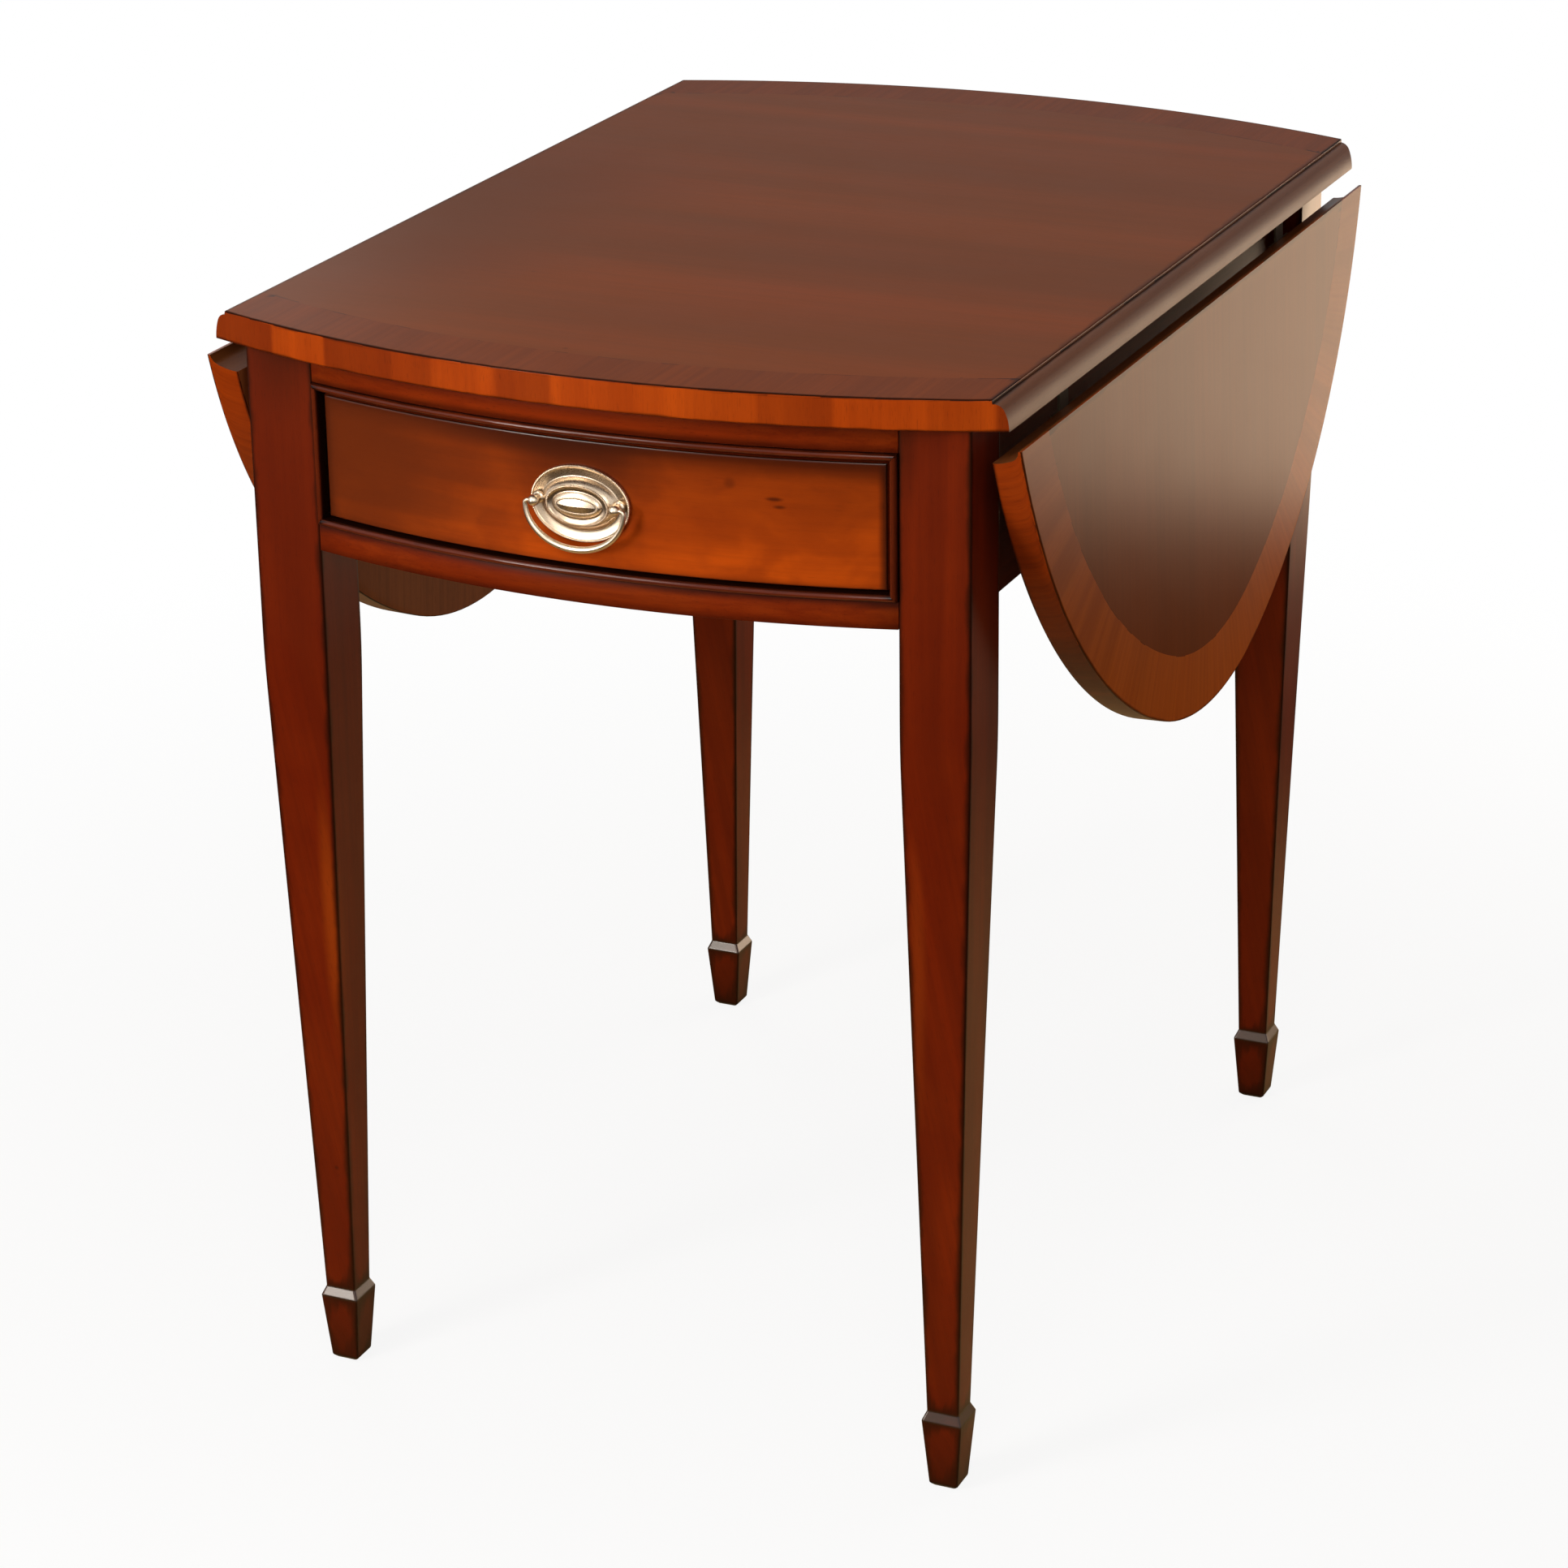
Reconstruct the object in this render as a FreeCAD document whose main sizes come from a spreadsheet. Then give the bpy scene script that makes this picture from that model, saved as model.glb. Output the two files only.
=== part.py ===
import FreeCAD, Part
import os
import re
import Sketcher

# Pembroke table: bow-ended fixed top, two half-oval drop leaves on rule joints, four tapered
# legs with spade feet, one bow-front drawer with an oval bail pull, two pull-out leaf supports.
# Millimetres, +Z up, origin on the floor at the middle of the table, drawer facing -Y.

doc = FreeCAD.newDocument("pembroke_table")
sheet = doc.addObject("Spreadsheet::Sheet", "Sizes")
Vector = FreeCAD.Vector

# Driving dimensions: name, value, meaning
SIZES = [
    ("table_height", 711, "floor to the top surface"),
    ("top_thickness", 19, "fixed top and leaves"),
    ("side_overhang", 12.5, "top surface past the legs, each side"),
    ("end_overhang", 0.5, "corners of the top past the legs, front and back"),
    ("bow_radius", 690, "bow of the top's ends and of the front and back rails"),
    ("ovolo_width", 9, "how far the ovolo stands out from the top surface's edge"),
    ("ovolo_fillet", 2.5, "small square step above the ovolo"),
    ("ovolo_nose", 7, "small radius of the ovolo, next to the step"),
    ("rule_gap", 0.6, "clearance between ovolo and cove when a leaf is up"),
    ("leaf_end_gap", 3.5, "end of a leaf short of the corner of the top"),
    ("leaf_width", 259, "leaf from its lip to the middle of its edge"),
    ("leaf_side_flat", 70.7, "outline next to the rule joint, radius over that of one plain arc"),
    ("leaf_end_round", 83.3, "outline at the middle of the leaf, radius under that of one plain arc"),
    ("leaf_drop", 88, "degrees a leaf hangs down from level"),
    ("band_width", 41, "crossband veneer"),
    ("band_thick", 1, "crossband veneer"),
    ("frame_width", 467, "over the legs, side to side"),
    ("frame_depth", 643, "over the legs, front to back"),
    ("leg_side", 44.5, "leg above the taper"),
    ("taper_start", 492, "height where the taper begins"),
    ("ankle_side", 21, "leg just above the spade foot"),
    ("ankle_height", 53.5, "height of the ankle"),
    ("spade_side", 26.3, "widest part of the spade foot"),
    ("spade_height", 47.5, "height of the widest part"),
    ("toe_side", 19, "spade foot near the floor"),
    ("toe_round", 2.5, "eased bottom edge of the foot"),
    ("leg_arris", 1.2, "rounded corners of a leg"),
    ("apron_height", 125, "rails under the top"),
    ("side_rail_thick", 19, "side rail"),
    ("side_rail_recess", 15, "side rail set back from the leg faces"),
    ("back_rail_thick", 22, "bowed back rail"),
    ("top_rail_height", 19, "front rail above the drawer"),
    ("bottom_rail_height", 17, "front rail below the drawer"),
    ("tenon_thick", 10, "tenons of the rails"),
    ("tenon_length", 20, "tenons of the rails"),
    ("tenon_shoulder", 8, "rail above and below its tenon"),
    ("front_tenon_shoulder", 3, "front rails above and below their tenons"),
    ("front_tenon_set", 14, "front tenons behind the front faces of the legs"),
    ("bead_width", 4.3, "cock bead round the drawer opening"),
    ("bead_proud", 3, "cock bead in front of the rails"),
    ("bead_seat", 12, "cock bead behind the face of the rails"),
    ("drawer_gap_side", 3, "between drawer front and side bead"),
    ("drawer_gap_top", 3, "between drawer front and top bead"),
    ("drawer_gap_bottom", 4, "between drawer front and bottom bead"),
    ("drawer_recess", 3, "drawer front behind the face of the rails"),
    ("drawer_front_thick", 20, "bowed drawer front"),
    ("drawer_side_thick", 11, "drawer sides and back"),
    ("drawer_bottom_thick", 5, "drawer bottom panel"),
    ("drawer_bottom_rise", 9, "bottom panel above the lower edge of the sides"),
    ("drawer_groove", 4.5, "bottom panel let into sides and front"),
    ("drawer_side_drop", 5, "sides below the top edge of the drawer front"),
    ("drawer_back_drop", 8, "back below the top edge of the sides"),
    ("drawer_tail", 230, "back of the drawer behind the middle of the table"),
    ("tail_length", 13, "dovetails of a drawer side into the drawer front"),
    ("tail_pin", 5, "between two dovetails at their tips"),
    ("tail_flare", 2.2, "dovetail past its root at its tip, above and below"),
    ("running_gap", 0.4, "between the drawer and what it runs on or between"),
    ("runner_width", 36, "drawer runner, out from the side rail"),
    ("runner_lift", 4, "runner above the bottom of the rails"),
    ("guide_height", 28, "drawer guide above the runner"),
    ("kicker_thick", 18, "kicker above the drawer side"),
    ("kicker_gap", 1, "between drawer side and kicker"),
    ("kicker_width", 31, "kicker, out from the side rail"),
    ("stop_x", 90, "drawer stop from the middle"),
    ("stop_width", 24, "drawer stop"),
    ("stop_depth", 16, "drawer stop, front to back"),
    ("stop_height", 12, "drawer stop above the bottom rail"),
    ("block_side", 17, "glue block in the corners of the case"),
    ("cleat_height", 20, "cleat along the back rail"),
    ("cleat_depth", 40, "cleat in the middle of the back rail"),
    ("cleat_gap", 39, "end of the back cleat from the leg"),
    ("pivot_drop", 4, "hinge pin below the underside of the top"),
    ("pivot_inset", 7, "hinge pin inboard of the top surface's edge"),
    ("hinge_inset", 118.5, "middle of a hinge from the end of its leaf"),
    ("hinge_width", 38, "hinge along its pin"),
    ("hinge_thick", 2, "hinge plates"),
    ("hinge_barrel", 3.2, "radius of the hinge barrel"),
    ("hinge_pin", 1.5, "radius of the hinge pin"),
    ("pin_clearance", 0.05, "between the pin and the knuckle that turns on it"),
    ("hinge_gap", 0.4, "between parts of the hinge that pass each other"),
    ("knuckle_width", 14, "middle knuckle, on the leaf plate"),
    ("top_plate_length", 19.5, "hinge plate under the top, from the pin"),
    ("leaf_plate_length", 62, "hinge plate under the leaf, from the pin"),
    ("screw_radius", 1.4, "shank of a hinge screw"),
    ("screw_head", 2.8, "head of a hinge screw"),
    ("screw_length", 12, "hinge screw"),
    ("screw_inset", 6, "hinge screws from the edges of a plate"),
    ("long_screw_radius", 2, "shank of a screw that holds the top"),
    ("long_screw_head", 4, "head of a screw that holds the top"),
    ("long_screw_bite", 11, "screw into the top"),
    ("long_screw_inset", 40, "screw that holds the top, from the end of the back cleat"),
    ("long_screw_set", 12, "screw that holds the top, from the front of the back cleat"),
    ("support_width", 40, "pull-out leaf support"),
    ("support_thick", 8.5, "pull-out leaf support"),
    ("support_gap", 0.3, "running clearance round a support"),
    ("support_offset", 12, "support from the middle line"),
    ("support_nose", 6, "support standing out of the side rail"),
    ("support_tail_gap", 31.2, "tail of a closed support from the far side rail"),
    ("support_tail", 10, "support behind its peg"),
    ("finger_groove", 2.5, "radius of the finger groove under a support's nose"),
    ("peg_radius", 3, "stop peg in a support"),
    ("peg_drop", 5.5, "stop peg below its support"),
    ("keeper_half", 30, "half width of the support keeper"),
    ("keeper_wall", 24, "keeper outside the supports"),
    ("keeper_floor", 8, "keeper under the supports"),
    ("plate_width", 64, "oval backplate of the pull"),
    ("plate_height", 47, "oval backplate of the pull"),
    ("plate_edge", 1, "edge of the backplate above the drawer face"),
    ("plate_bevel", 0.8, "slope from the edge up to the rim"),
    ("rim_width", 0.7, "flat of the rim"),
    ("rim_rise", 2.4, "rim above the drawer face"),
    ("rim_slope", 2.1, "slope from the rim down to the trough"),
    ("trough_width", 2.2, "floor of the trough"),
    ("trough_rise", 0.7, "floor of the trough above the drawer face"),
    ("dish_width", 4.4, "slope from the trough up to the outer moulding"),
    ("ring_width", 2.1, "flat of the outer moulding"),
    ("ring_rise", 2.5, "outer moulding above the drawer face"),
    ("ring_slope", 0.7, "slope from the outer moulding down to the channel"),
    ("channel_width", 0.7, "floor of the channel between the mouldings"),
    ("channel_rise", 1.5, "floor of the channel above the drawer face"),
    ("eye_slope", 1.3, "slope from the channel up to the inner moulding"),
    ("eye_width", 1.2, "flat of the inner moulding"),
    ("eye_rise", 2.6, "inner moulding above the drawer face"),
    ("lens_moat", 3.1, "slope from the inner moulding down to the lens"),
    ("lens_edge", 1.5, "edge of the lens above the drawer face"),
    ("lens_rise", 3, "ridge of the lens above the drawer face"),
    ("ridge_length", 14, "ridge of the lens"),
    ("ridge_width", 0.8, "ridge of the lens"),
    ("post_spacing", 52, "between the two posts"),
    ("post_standoff", 9.5, "bail axis in front of the drawer face"),
    ("post_ball", 3.4, "radius of a post's ball"),
    ("post_collar", 2.6, "radius of a post's neck"),
    ("post_seat", 3.6, "radius of a post's seat in the backplate"),
    ("post_seat_rise", 2.2, "seat above the drawer face"),
    ("post_shank", 2, "radius of a post's threaded end"),
    ("nut_radius", 5, "nut behind the drawer front"),
    ("nut_thick", 4, "nut behind the drawer front"),
    ("post_tip", 2, "threaded end past its nut"),
    ("bail_radius", 1.25, "radius of the bail's bar at its ends"),
    ("bail_belly", 2.05, "radius of the bail's bar at its lowest point"),
    ("bail_clearance", 0.05, "between the bail's ends and the posts"),
    ("bail_reach", 1.5, "bail ends past the middle of the posts"),
    ("bail_shoulder", 2.2, "bend where the bail leaves a post"),
    ("bail_side", 16, "radius of the bail's sides"),
    ("bail_drop", 27, "bail below its axis"),
]

# Worked-out dimensions: name, formula, meaning
WORKED = [
    ("under_z", "table_height - top_thickness", "underside of the top"),
    ("apron_z", "under_z - apron_height", "bottom of the rails"),
    ("half_top", "frame_width / 2 + side_overhang", "edge of the top surface"),
    ("edge_x", "half_top + ovolo_width", "foot of the ovolo"),
    ("corner_y", "frame_depth / 2 + end_overhang", "corners of the top"),
    ("top_reach", "corner_y + bow_radius - sqrt(bow_radius ^ 2 - half_top ^ 2)", "middle of the top's bow"),
    ("top_shift", "bow_radius - top_reach", "centre of the top's bow"),
    ("leg_x", "(frame_width - leg_side) / 2", "leg centres"),
    ("leg_y", "(frame_depth - leg_side) / 2", "leg centres"),
    ("case_x", "frame_width / 2 - leg_side", "inner faces of the legs"),
    ("case_y", "frame_depth / 2 - leg_side", "inner faces of the legs"),
    ("rail_reach", "frame_depth / 2 + bow_radius - sqrt(bow_radius ^ 2 - case_x ^ 2)",
     "middle of the rails' bow"),
    ("rail_shift", "bow_radius - rail_reach", "centre of the rails' bow"),
    ("cleat_back", "rail_reach - back_rail_thick", "inner face of the back rail, in the middle"),
    ("cleat_half", "case_x - cleat_gap", "half length of the back cleat"),
    ("long_screw_x", "cleat_half - long_screw_inset", "screws that hold the top, from the middle"),
    ("side_out", "frame_width / 2 - side_rail_recess", "outer face of a side rail"),
    ("side_in", "side_out - side_rail_thick", "inner face of a side rail"),
    ("ovolo_high", "top_thickness - ovolo_fillet", "height of the ovolo"),
    ("ovolo_rise", "ovolo_high - ovolo_nose", "centre of the nose above the underside"),
    ("ovolo_body", "(ovolo_rise ^ 2 + ovolo_width ^ 2 - ovolo_nose ^ 2) / (2 * (ovolo_width - ovolo_nose))",
     "large radius of the ovolo"),
    ("ovolo_lean", "(ovolo_body - ovolo_width) / (ovolo_body - ovolo_nose)",
     "direction where the two arcs meet"),
    ("ovolo_lift", "ovolo_rise / (ovolo_body - ovolo_nose)", "direction where the two arcs meet"),
    ("lip_x", "half_top + rule_gap", "lip of a raised leaf"),
    ("cove_top", "under_z + ovolo_rise + sqrt((ovolo_nose + rule_gap) ^ 2 - rule_gap ^ 2)",
     "underside of the lip"),
    ("leaf_half", "corner_y - leaf_end_gap", "half length of a leaf"),
    ("hinge_y", "leaf_half - hinge_inset", "hinges from the middle of the table"),
    ("leaf_arc", "(leaf_width ^ 2 + leaf_half ^ 2) / (2 * leaf_width)", "arc through corners and middle"),
    ("leaf_side_radius", "leaf_arc + leaf_side_flat", "outline next to the rule joint"),
    ("leaf_end_radius", "leaf_arc - leaf_end_round", "outline at the middle of the leaf"),
    ("leaf_near", "leaf_width - leaf_end_radius", "centre of the middle arc from the lip"),
    ("leaf_slant", "sqrt(leaf_half ^ 2 + leaf_near ^ 2)", "corner of the leaf to that centre"),
    ("leaf_diff", "leaf_side_radius - leaf_end_radius", "distance of the two arc centres"),
    ("leaf_along", "(leaf_side_radius ^ 2 - leaf_diff ^ 2 + leaf_slant ^ 2) / (2 * leaf_slant)",
     "side arc centre"),
    ("leaf_aside", "sqrt(leaf_side_radius ^ 2 - leaf_along ^ 2)", "side arc centre"),
    ("side_arc_y", "leaf_half - (leaf_along * leaf_half + leaf_aside * leaf_near) / leaf_slant",
     "side arc centre"),
    ("side_arc_x", "(leaf_along * leaf_near - leaf_aside * leaf_half) / leaf_slant",
     "side arc centre from the lip"),
    ("join_y", "0 - side_arc_y / leaf_diff", "direction where the outline's arcs meet"),
    ("join_x", "(leaf_near - side_arc_x) / leaf_diff", "direction where the outline's arcs meet"),
    ("band_end", "side_arc_y + sqrt((leaf_side_radius - band_width) ^ 2 - side_arc_x ^ 2)",
     "band at the lip"),
    ("pivot_x", "half_top - pivot_inset", "hinge axis"),
    ("pivot_z", "under_z - pivot_drop", "hinge axis"),
    ("bead_turn", "3 * asin(case_x / bow_radius)", "sweep of the bowed beads, trimmed between the legs"),
    ("open_bottom", "apron_z + bottom_rail_height + bead_width", "drawer opening"),
    ("open_top", "under_z - top_rail_height - bead_width", "drawer opening"),
    ("front_half", "case_x - bead_width - drawer_gap_side", "half width of the drawer"),
    ("front_bottom", "open_bottom + drawer_gap_bottom", "drawer front"),
    ("front_top", "open_top - drawer_gap_top", "drawer front"),
    ("front_bow", "bow_radius - drawer_recess", "outer bow of the drawer front"),
    ("front_back_bow", "front_bow - drawer_front_thick", "inner bow of the drawer front"),
    ("side_bottom", "open_bottom + running_gap", "lower edge of the drawer sides"),
    ("side_top", "front_top - drawer_side_drop", "upper edge of the drawer sides"),
    ("panel_bottom", "side_bottom + drawer_bottom_rise", "drawer bottom panel"),
    ("panel_top", "panel_bottom + drawer_bottom_thick", "drawer bottom panel"),
    ("runner_top", "side_bottom - running_gap", "drawer runner"),
    ("kicker_bottom", "side_top + kicker_gap", "kicker"),
    ("support_top", "under_z - support_gap", "leaf support"),
    ("support_bottom", "support_top - support_thick", "leaf support"),
    ("peg_x", "side_in - support_tail_gap - support_tail", "stop peg of a closed support"),
    ("keeper_bottom", "support_bottom - support_gap - keeper_floor", "keeper"),
    ("face_y", "rail_reach - drawer_recess", "middle of the drawer face"),
    ("plate_sag", "front_bow - sqrt(front_bow ^ 2 - plate_width ^ 2 / 4)",
     "drawer face behind the plate's ends"),
    ("bail_y", "face_y + post_standoff", "bail axis"),
    ("plate_z", "(front_bottom + front_top) / 2", "middle of the backplate"),
    ("post_z", "plate_z", "bail axis"),
    ("nut_y", "sqrt(front_back_bow ^ 2 - (post_spacing / 2 + nut_radius) ^ 2) - rail_shift",
     "face of the nuts"),
    ("bail_half", "post_spacing / 2 + post_ball + bail_shoulder", "half width of the bail"),
    ("bail_fall", "bail_drop - bail_shoulder", "bail below its bends"),
    ("bail_inset", "bail_half - bail_side", "centre of the bail's side from the middle"),
    ("bail_bottom", "(bail_inset ^ 2 + bail_fall ^ 2 - bail_side ^ 2) / (2 * (bail_fall - bail_side))",
     "radius of the bail's bottom"),
]


def fill_sheet():
    rows = [(name, str(value), note) for name, value, note in SIZES]
    rows += [(name, "=" + formula, note) for name, formula, note in WORKED]
    for row, (name, content, note) in enumerate(rows, start=1):
        sheet.set(f"A{row}", note)
        sheet.set(f"B{row}", content)
        sheet.setAlias(f"B{row}", name)
    doc.recompute()


ALIASES = {row[0] for row in SIZES + WORKED}


def linked(text):
    """The formula with every size named as a cell of the sheet."""
    return re.sub(r"[A-Za-z_]\w*", lambda word: ("Sizes." if word[0] in ALIASES else "") + word[0], text)


def bind(thing, prop, text):
    thing.setExpression(prop, linked(text))


def number(text):
    return float(sheet.evalExpression(linked(text)))


# Sub-parts in the order in which they are written
NODES = []


def node(thing, name):
    thing.Label = name
    NODES.append(thing)
    return thing


def mirrored(side, low, high):
    """A span along X on the right side (+1), or its mirror image on the left (-1)."""
    return (low, high) if side > 0 else (f"-({high})", f"-({low})")


def signed(side, text):
    return f"{side} * ({text})"


# Solids

def box(name, x, y, z):
    thing = doc.addObject("Part::Box", name)
    for prop, axis, (low, high) in (("Length", "x", x), ("Width", "y", y), ("Height", "z", z)):
        bind(thing, prop, f"({high}) - ({low})")
        bind(thing, "Placement.Base." + axis, low)
    return thing


TURNS = {"x": (Vector(0, 1, 0), 90), "y": (Vector(1, 0, 0), -90), "z": (Vector(0, 0, 1), 0)}


def rod(name, axis, start, radius, length):
    """A cylinder that leaves its start point along +X, +Y or +Z."""
    thing = doc.addObject("Part::Cylinder", name)
    thing.Placement.Rotation = FreeCAD.Rotation(*TURNS[axis])
    bind(thing, "Radius", radius)
    bind(thing, "Height", length)
    for letter, text in zip("xyz", start):
        bind(thing, "Placement.Base." + letter, text)
    return thing


def fuse(name, things):
    thing = doc.addObject("Part::MultiFuse", name)
    thing.Shapes = things
    thing.Refine = True
    return thing


def cut(name, base, tools):
    thing = doc.addObject("Part::Cut", name)
    thing.Base = base
    thing.Tool = tools[0] if len(tools) == 1 else group(name + "_tools", tools)
    return thing


def group(name, things):
    thing = doc.addObject("Part::Compound", name)
    thing.Links = things
    return thing


def common(name, base, tool):
    thing = doc.addObject("Part::Common", name)
    thing.Base = base
    thing.Tool = tool
    return thing


def bow(name, radius, shift, facing):
    """A standing cylinder whose wall is a bowed face: facing -1 is the front, +1 the back."""
    return rod(name, "z", ("0", signed(-facing, shift), "0"), radius, "table_height")


# Sketched solids

def plane_of(body, role):
    return [plane for plane in body.Origin.OriginFeatures if plane.Role == role][0]


def arc_between(start, end, radius, turn):
    """The short arc from start to end: turn +1 runs counter-clockwise, -1 clockwise."""
    chord = end - start
    half = chord.Length / 2
    reach = max(radius * radius - half * half, 0.0) ** 0.5
    across = Vector(-chord.y, chord.x, 0).normalize()
    centre = (start + end) * 0.5 + across * (reach * turn)
    first, last = (start, end) if turn > 0 else (end, start)
    circle = Part.Circle(centre, Vector(0, 0, 1), radius)
    return Part.ArcOfCircle(circle, circle.parameter(first), circle.parameter(last))


def outline(body, name, role, corners, lift=None):
    """A closed sketch through (x, y) corners; a third and fourth entry make the next side an arc."""
    drawing = body.newObject("Sketcher::SketchObject", name)
    drawing.AttachmentSupport = [(plane_of(body, role), "")]
    drawing.MapMode = "FlatFace"
    if lift is not None:
        bind(drawing, "AttachmentOffset.Base.z", lift)
    spots = [Vector(number(corner[0]), number(corner[1]), 0) for corner in corners]
    heads, tails = [], []
    for index, corner in enumerate(corners):
        start, end = spots[index], spots[(index + 1) % len(spots)]
        if len(corner) == 2:
            side = drawing.addGeometry(Part.LineSegment(start, end), False)
            forward = True
        else:
            radius, turn = corner[2:]
            side = drawing.addGeometry(arc_between(start, end, number(radius), turn), False)
            forward = turn > 0
        heads.append((side, 1 if forward else 2))
        tails.append((side, 2 if forward else 1))
    for index, corner in enumerate(corners):
        head = heads[index]
        drawing.addConstraint(Sketcher.Constraint("Coincident", *tails[index - 1], *head))
        for kind, letter, text, spot in (("DistanceX", "x", corner[0], spots[index].x),
                                         ("DistanceY", "y", corner[1], spots[index].y)):
            rule = drawing.addConstraint(Sketcher.Constraint(kind, -1, 1, *head, spot))
            drawing.renameConstraint(rule, f"{letter}{index}")
            bind(drawing, f"Constraints.{letter}{index}", text)
        if len(corner) == 4:
            rule = drawing.addConstraint(Sketcher.Constraint("Radius", head[0], number(corner[2])))
            drawing.renameConstraint(rule, f"radius{index}")
            bind(drawing, f"Constraints.radius{index}", corner[2])
    return drawing


def pad(name, role, corners, length, lift=None):
    """An outline pushed along its plane's normal; without a lift it is pushed both ways alike."""
    body = doc.addObject("PartDesign::Body", name)
    thing = body.newObject("PartDesign::Pad", name + "_pad")
    thing.Profile = outline(body, name + "_outline", role, corners, lift)
    bind(thing, "Length", length)
    if lift is None:
        thing.SideType = "Symmetric"
    return body


def countersunk(name, x, y, z, radius, head, length):
    """A wood screw driven upwards, its head flush with height z."""
    cone = doc.addObject("Part::Cone", name + "_head")
    bind(cone, "Radius1", head)
    bind(cone, "Radius2", radius)
    bind(cone, "Height", f"({head}) - ({radius})")
    for letter, text in zip("xyz", (x, y, z)):
        bind(cone, "Placement.Base." + letter, text)
    return fuse(name, [cone, rod(name + "_shank", "z", (x, y, z), radius, length)])


def hang(thing, side):
    """Turns a piece of a raised leaf down about its hinge axis to where it hangs."""
    angle = f"{side} * leaf_drop * 1deg"
    thing.Placement.Rotation = FreeCAD.Rotation(Vector(0, 1, 0), side * number("leaf_drop"))
    bind(thing, "Placement.Rotation.Angle", f"{side} * leaf_drop")
    axis_x = signed(side, "pivot_x")
    bind(thing, "Placement.Base.x", f"{axis_x} - {axis_x} * cos({angle}) - pivot_z * sin({angle})")
    bind(thing, "Placement.Base.z", f"pivot_z + {axis_x} * sin({angle}) - pivot_z * cos({angle})")
    return thing


SIDES = (("left", -1), ("right", 1))
ENDS = (("front", -1), ("back", 1))


def wall_of_bow(name, outer, inner, shift, facing):
    """A bowed wall between two standing cylinders about one axis."""
    core = bow(name + "_inner", inner, shift, facing)
    return cut(name, bow(name + "_outer", outer, shift, facing), [core])


# Rails and their tenons

def side_tenon(side, end):
    """Tenon of a side rail into a leg."""
    name = f"side_tenon_{side}_{end}"
    sign = dict(SIDES)[side]
    middle = "side_out - side_rail_thick / 2"
    x = mirrored(sign, f"{middle} - tenon_thick / 2", f"{middle} + tenon_thick / 2")
    y = ("case_y", "case_y + tenon_length") if end == "back" else ("-case_y - tenon_length", "-case_y")
    return box(name, x, y, ("apron_z + tenon_shoulder", "under_z - tenon_shoulder"))


def end_tenon(name, sign, y_middle, z_low, z_high):
    """Tenon of a front or back rail into a leg."""
    x = mirrored(sign, "case_x", "case_x + tenon_length")
    y = (f"{y_middle} - tenon_thick / 2", f"{y_middle} + tenon_thick / 2")
    return box(name, x, y, (z_low, z_high))


def rail_tenons():
    """Every tenon, by the rail that carries it and the leg that takes it."""
    tenons = {}
    for side, sign in SIDES:
        for end, facing in ENDS:
            tenons[f"side_rail_{side}", f"leg_{end}_{side}"] = side_tenon(side, end)
        back_middle = "frame_depth / 2 - back_rail_thick / 2"
        tenons["back_rail", f"leg_back_{side}"] = end_tenon(
            f"back_tenon_{side}", sign, back_middle, "apron_z + tenon_shoulder", "under_z - tenon_shoulder")
        front_middle = "-frame_depth / 2 + front_tenon_set"
        tenons["front_top_rail", f"leg_front_{side}"] = end_tenon(
            f"top_tenon_{side}", sign, front_middle,
            "under_z - top_rail_height + front_tenon_shoulder", "under_z - front_tenon_shoulder")
        tenons["front_bottom_rail", f"leg_front_{side}"] = end_tenon(
            f"bottom_tenon_{side}", sign, front_middle,
            "apron_z + front_tenon_shoulder", "apron_z + bottom_rail_height - front_tenon_shoulder")
    return tenons


# Legs

def leg_section(body, name, side, height):
    half = f"({side}) / 2"
    flat = f"({half} - leg_arris)"
    corners = []
    for x_sign, y_sign in ((1, -1), (1, 1), (-1, 1), (-1, -1)):
        before = (signed(x_sign, flat), signed(y_sign, half))
        after = (signed(x_sign, half), signed(y_sign, flat))
        if x_sign * y_sign > 0:
            before, after = after, before
        corners += [(*before, "leg_arris", 1), after]
    return outline(body, name, "XY_Plane", corners, height)


def leg(end, side, tenons):
    """Square above, tapered on all four faces, swelling to a spade foot with eased toes."""
    name = f"leg_{end}_{side}"
    body = doc.addObject("PartDesign::Body", name + "_blank")
    rings = [("toe_side - 2 * toe_round", "0"), ("toe_side", "toe_round"), ("spade_side", "spade_height"),
             ("ankle_side", "ankle_height"), ("leg_side", "taper_start"), ("leg_side", "under_z")]
    drawings = [leg_section(body, f"{name}_ring{index}", ring, height)
                for index, (ring, height) in enumerate(rings)]
    loft = body.newObject("PartDesign::AdditiveLoft", name + "_loft")
    loft.Profile = drawings[0]
    loft.Sections = drawings[1:]
    loft.Ruled = True
    bind(body, "Placement.Base.x", signed(dict(SIDES)[side], "leg_x"))
    bind(body, "Placement.Base.y", signed(dict(ENDS)[end], "leg_y"))
    sockets = [tenon for (rail, seat), tenon in tenons.items() if seat == name]
    node(cut(name, body, sockets), name)


def with_tenons(name, rail, tenons):
    pegs = [tenon for (carrier, seat), tenon in tenons.items() if carrier == name]
    return fuse(name, [rail] + pegs)


# Case

def screws_for_top():
    """Wood screws up through the front top rail and the back cleat into the top."""
    screws = []
    for side, sign in SIDES:
        x = signed(sign, "long_screw_x")
        screws.append(countersunk(f"front_top_screw_{side}", x, "-frame_depth / 2 + leg_side / 2",
                                  "under_z - top_rail_height", "long_screw_radius", "long_screw_head",
                                  "top_rail_height + long_screw_bite"))
        screws.append(countersunk(f"back_top_screw_{side}", x, "cleat_back - cleat_depth + long_screw_set",
                                  "under_z - cleat_height", "long_screw_radius", "long_screw_head",
                                  "cleat_height + long_screw_bite"))
    return screws


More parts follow.
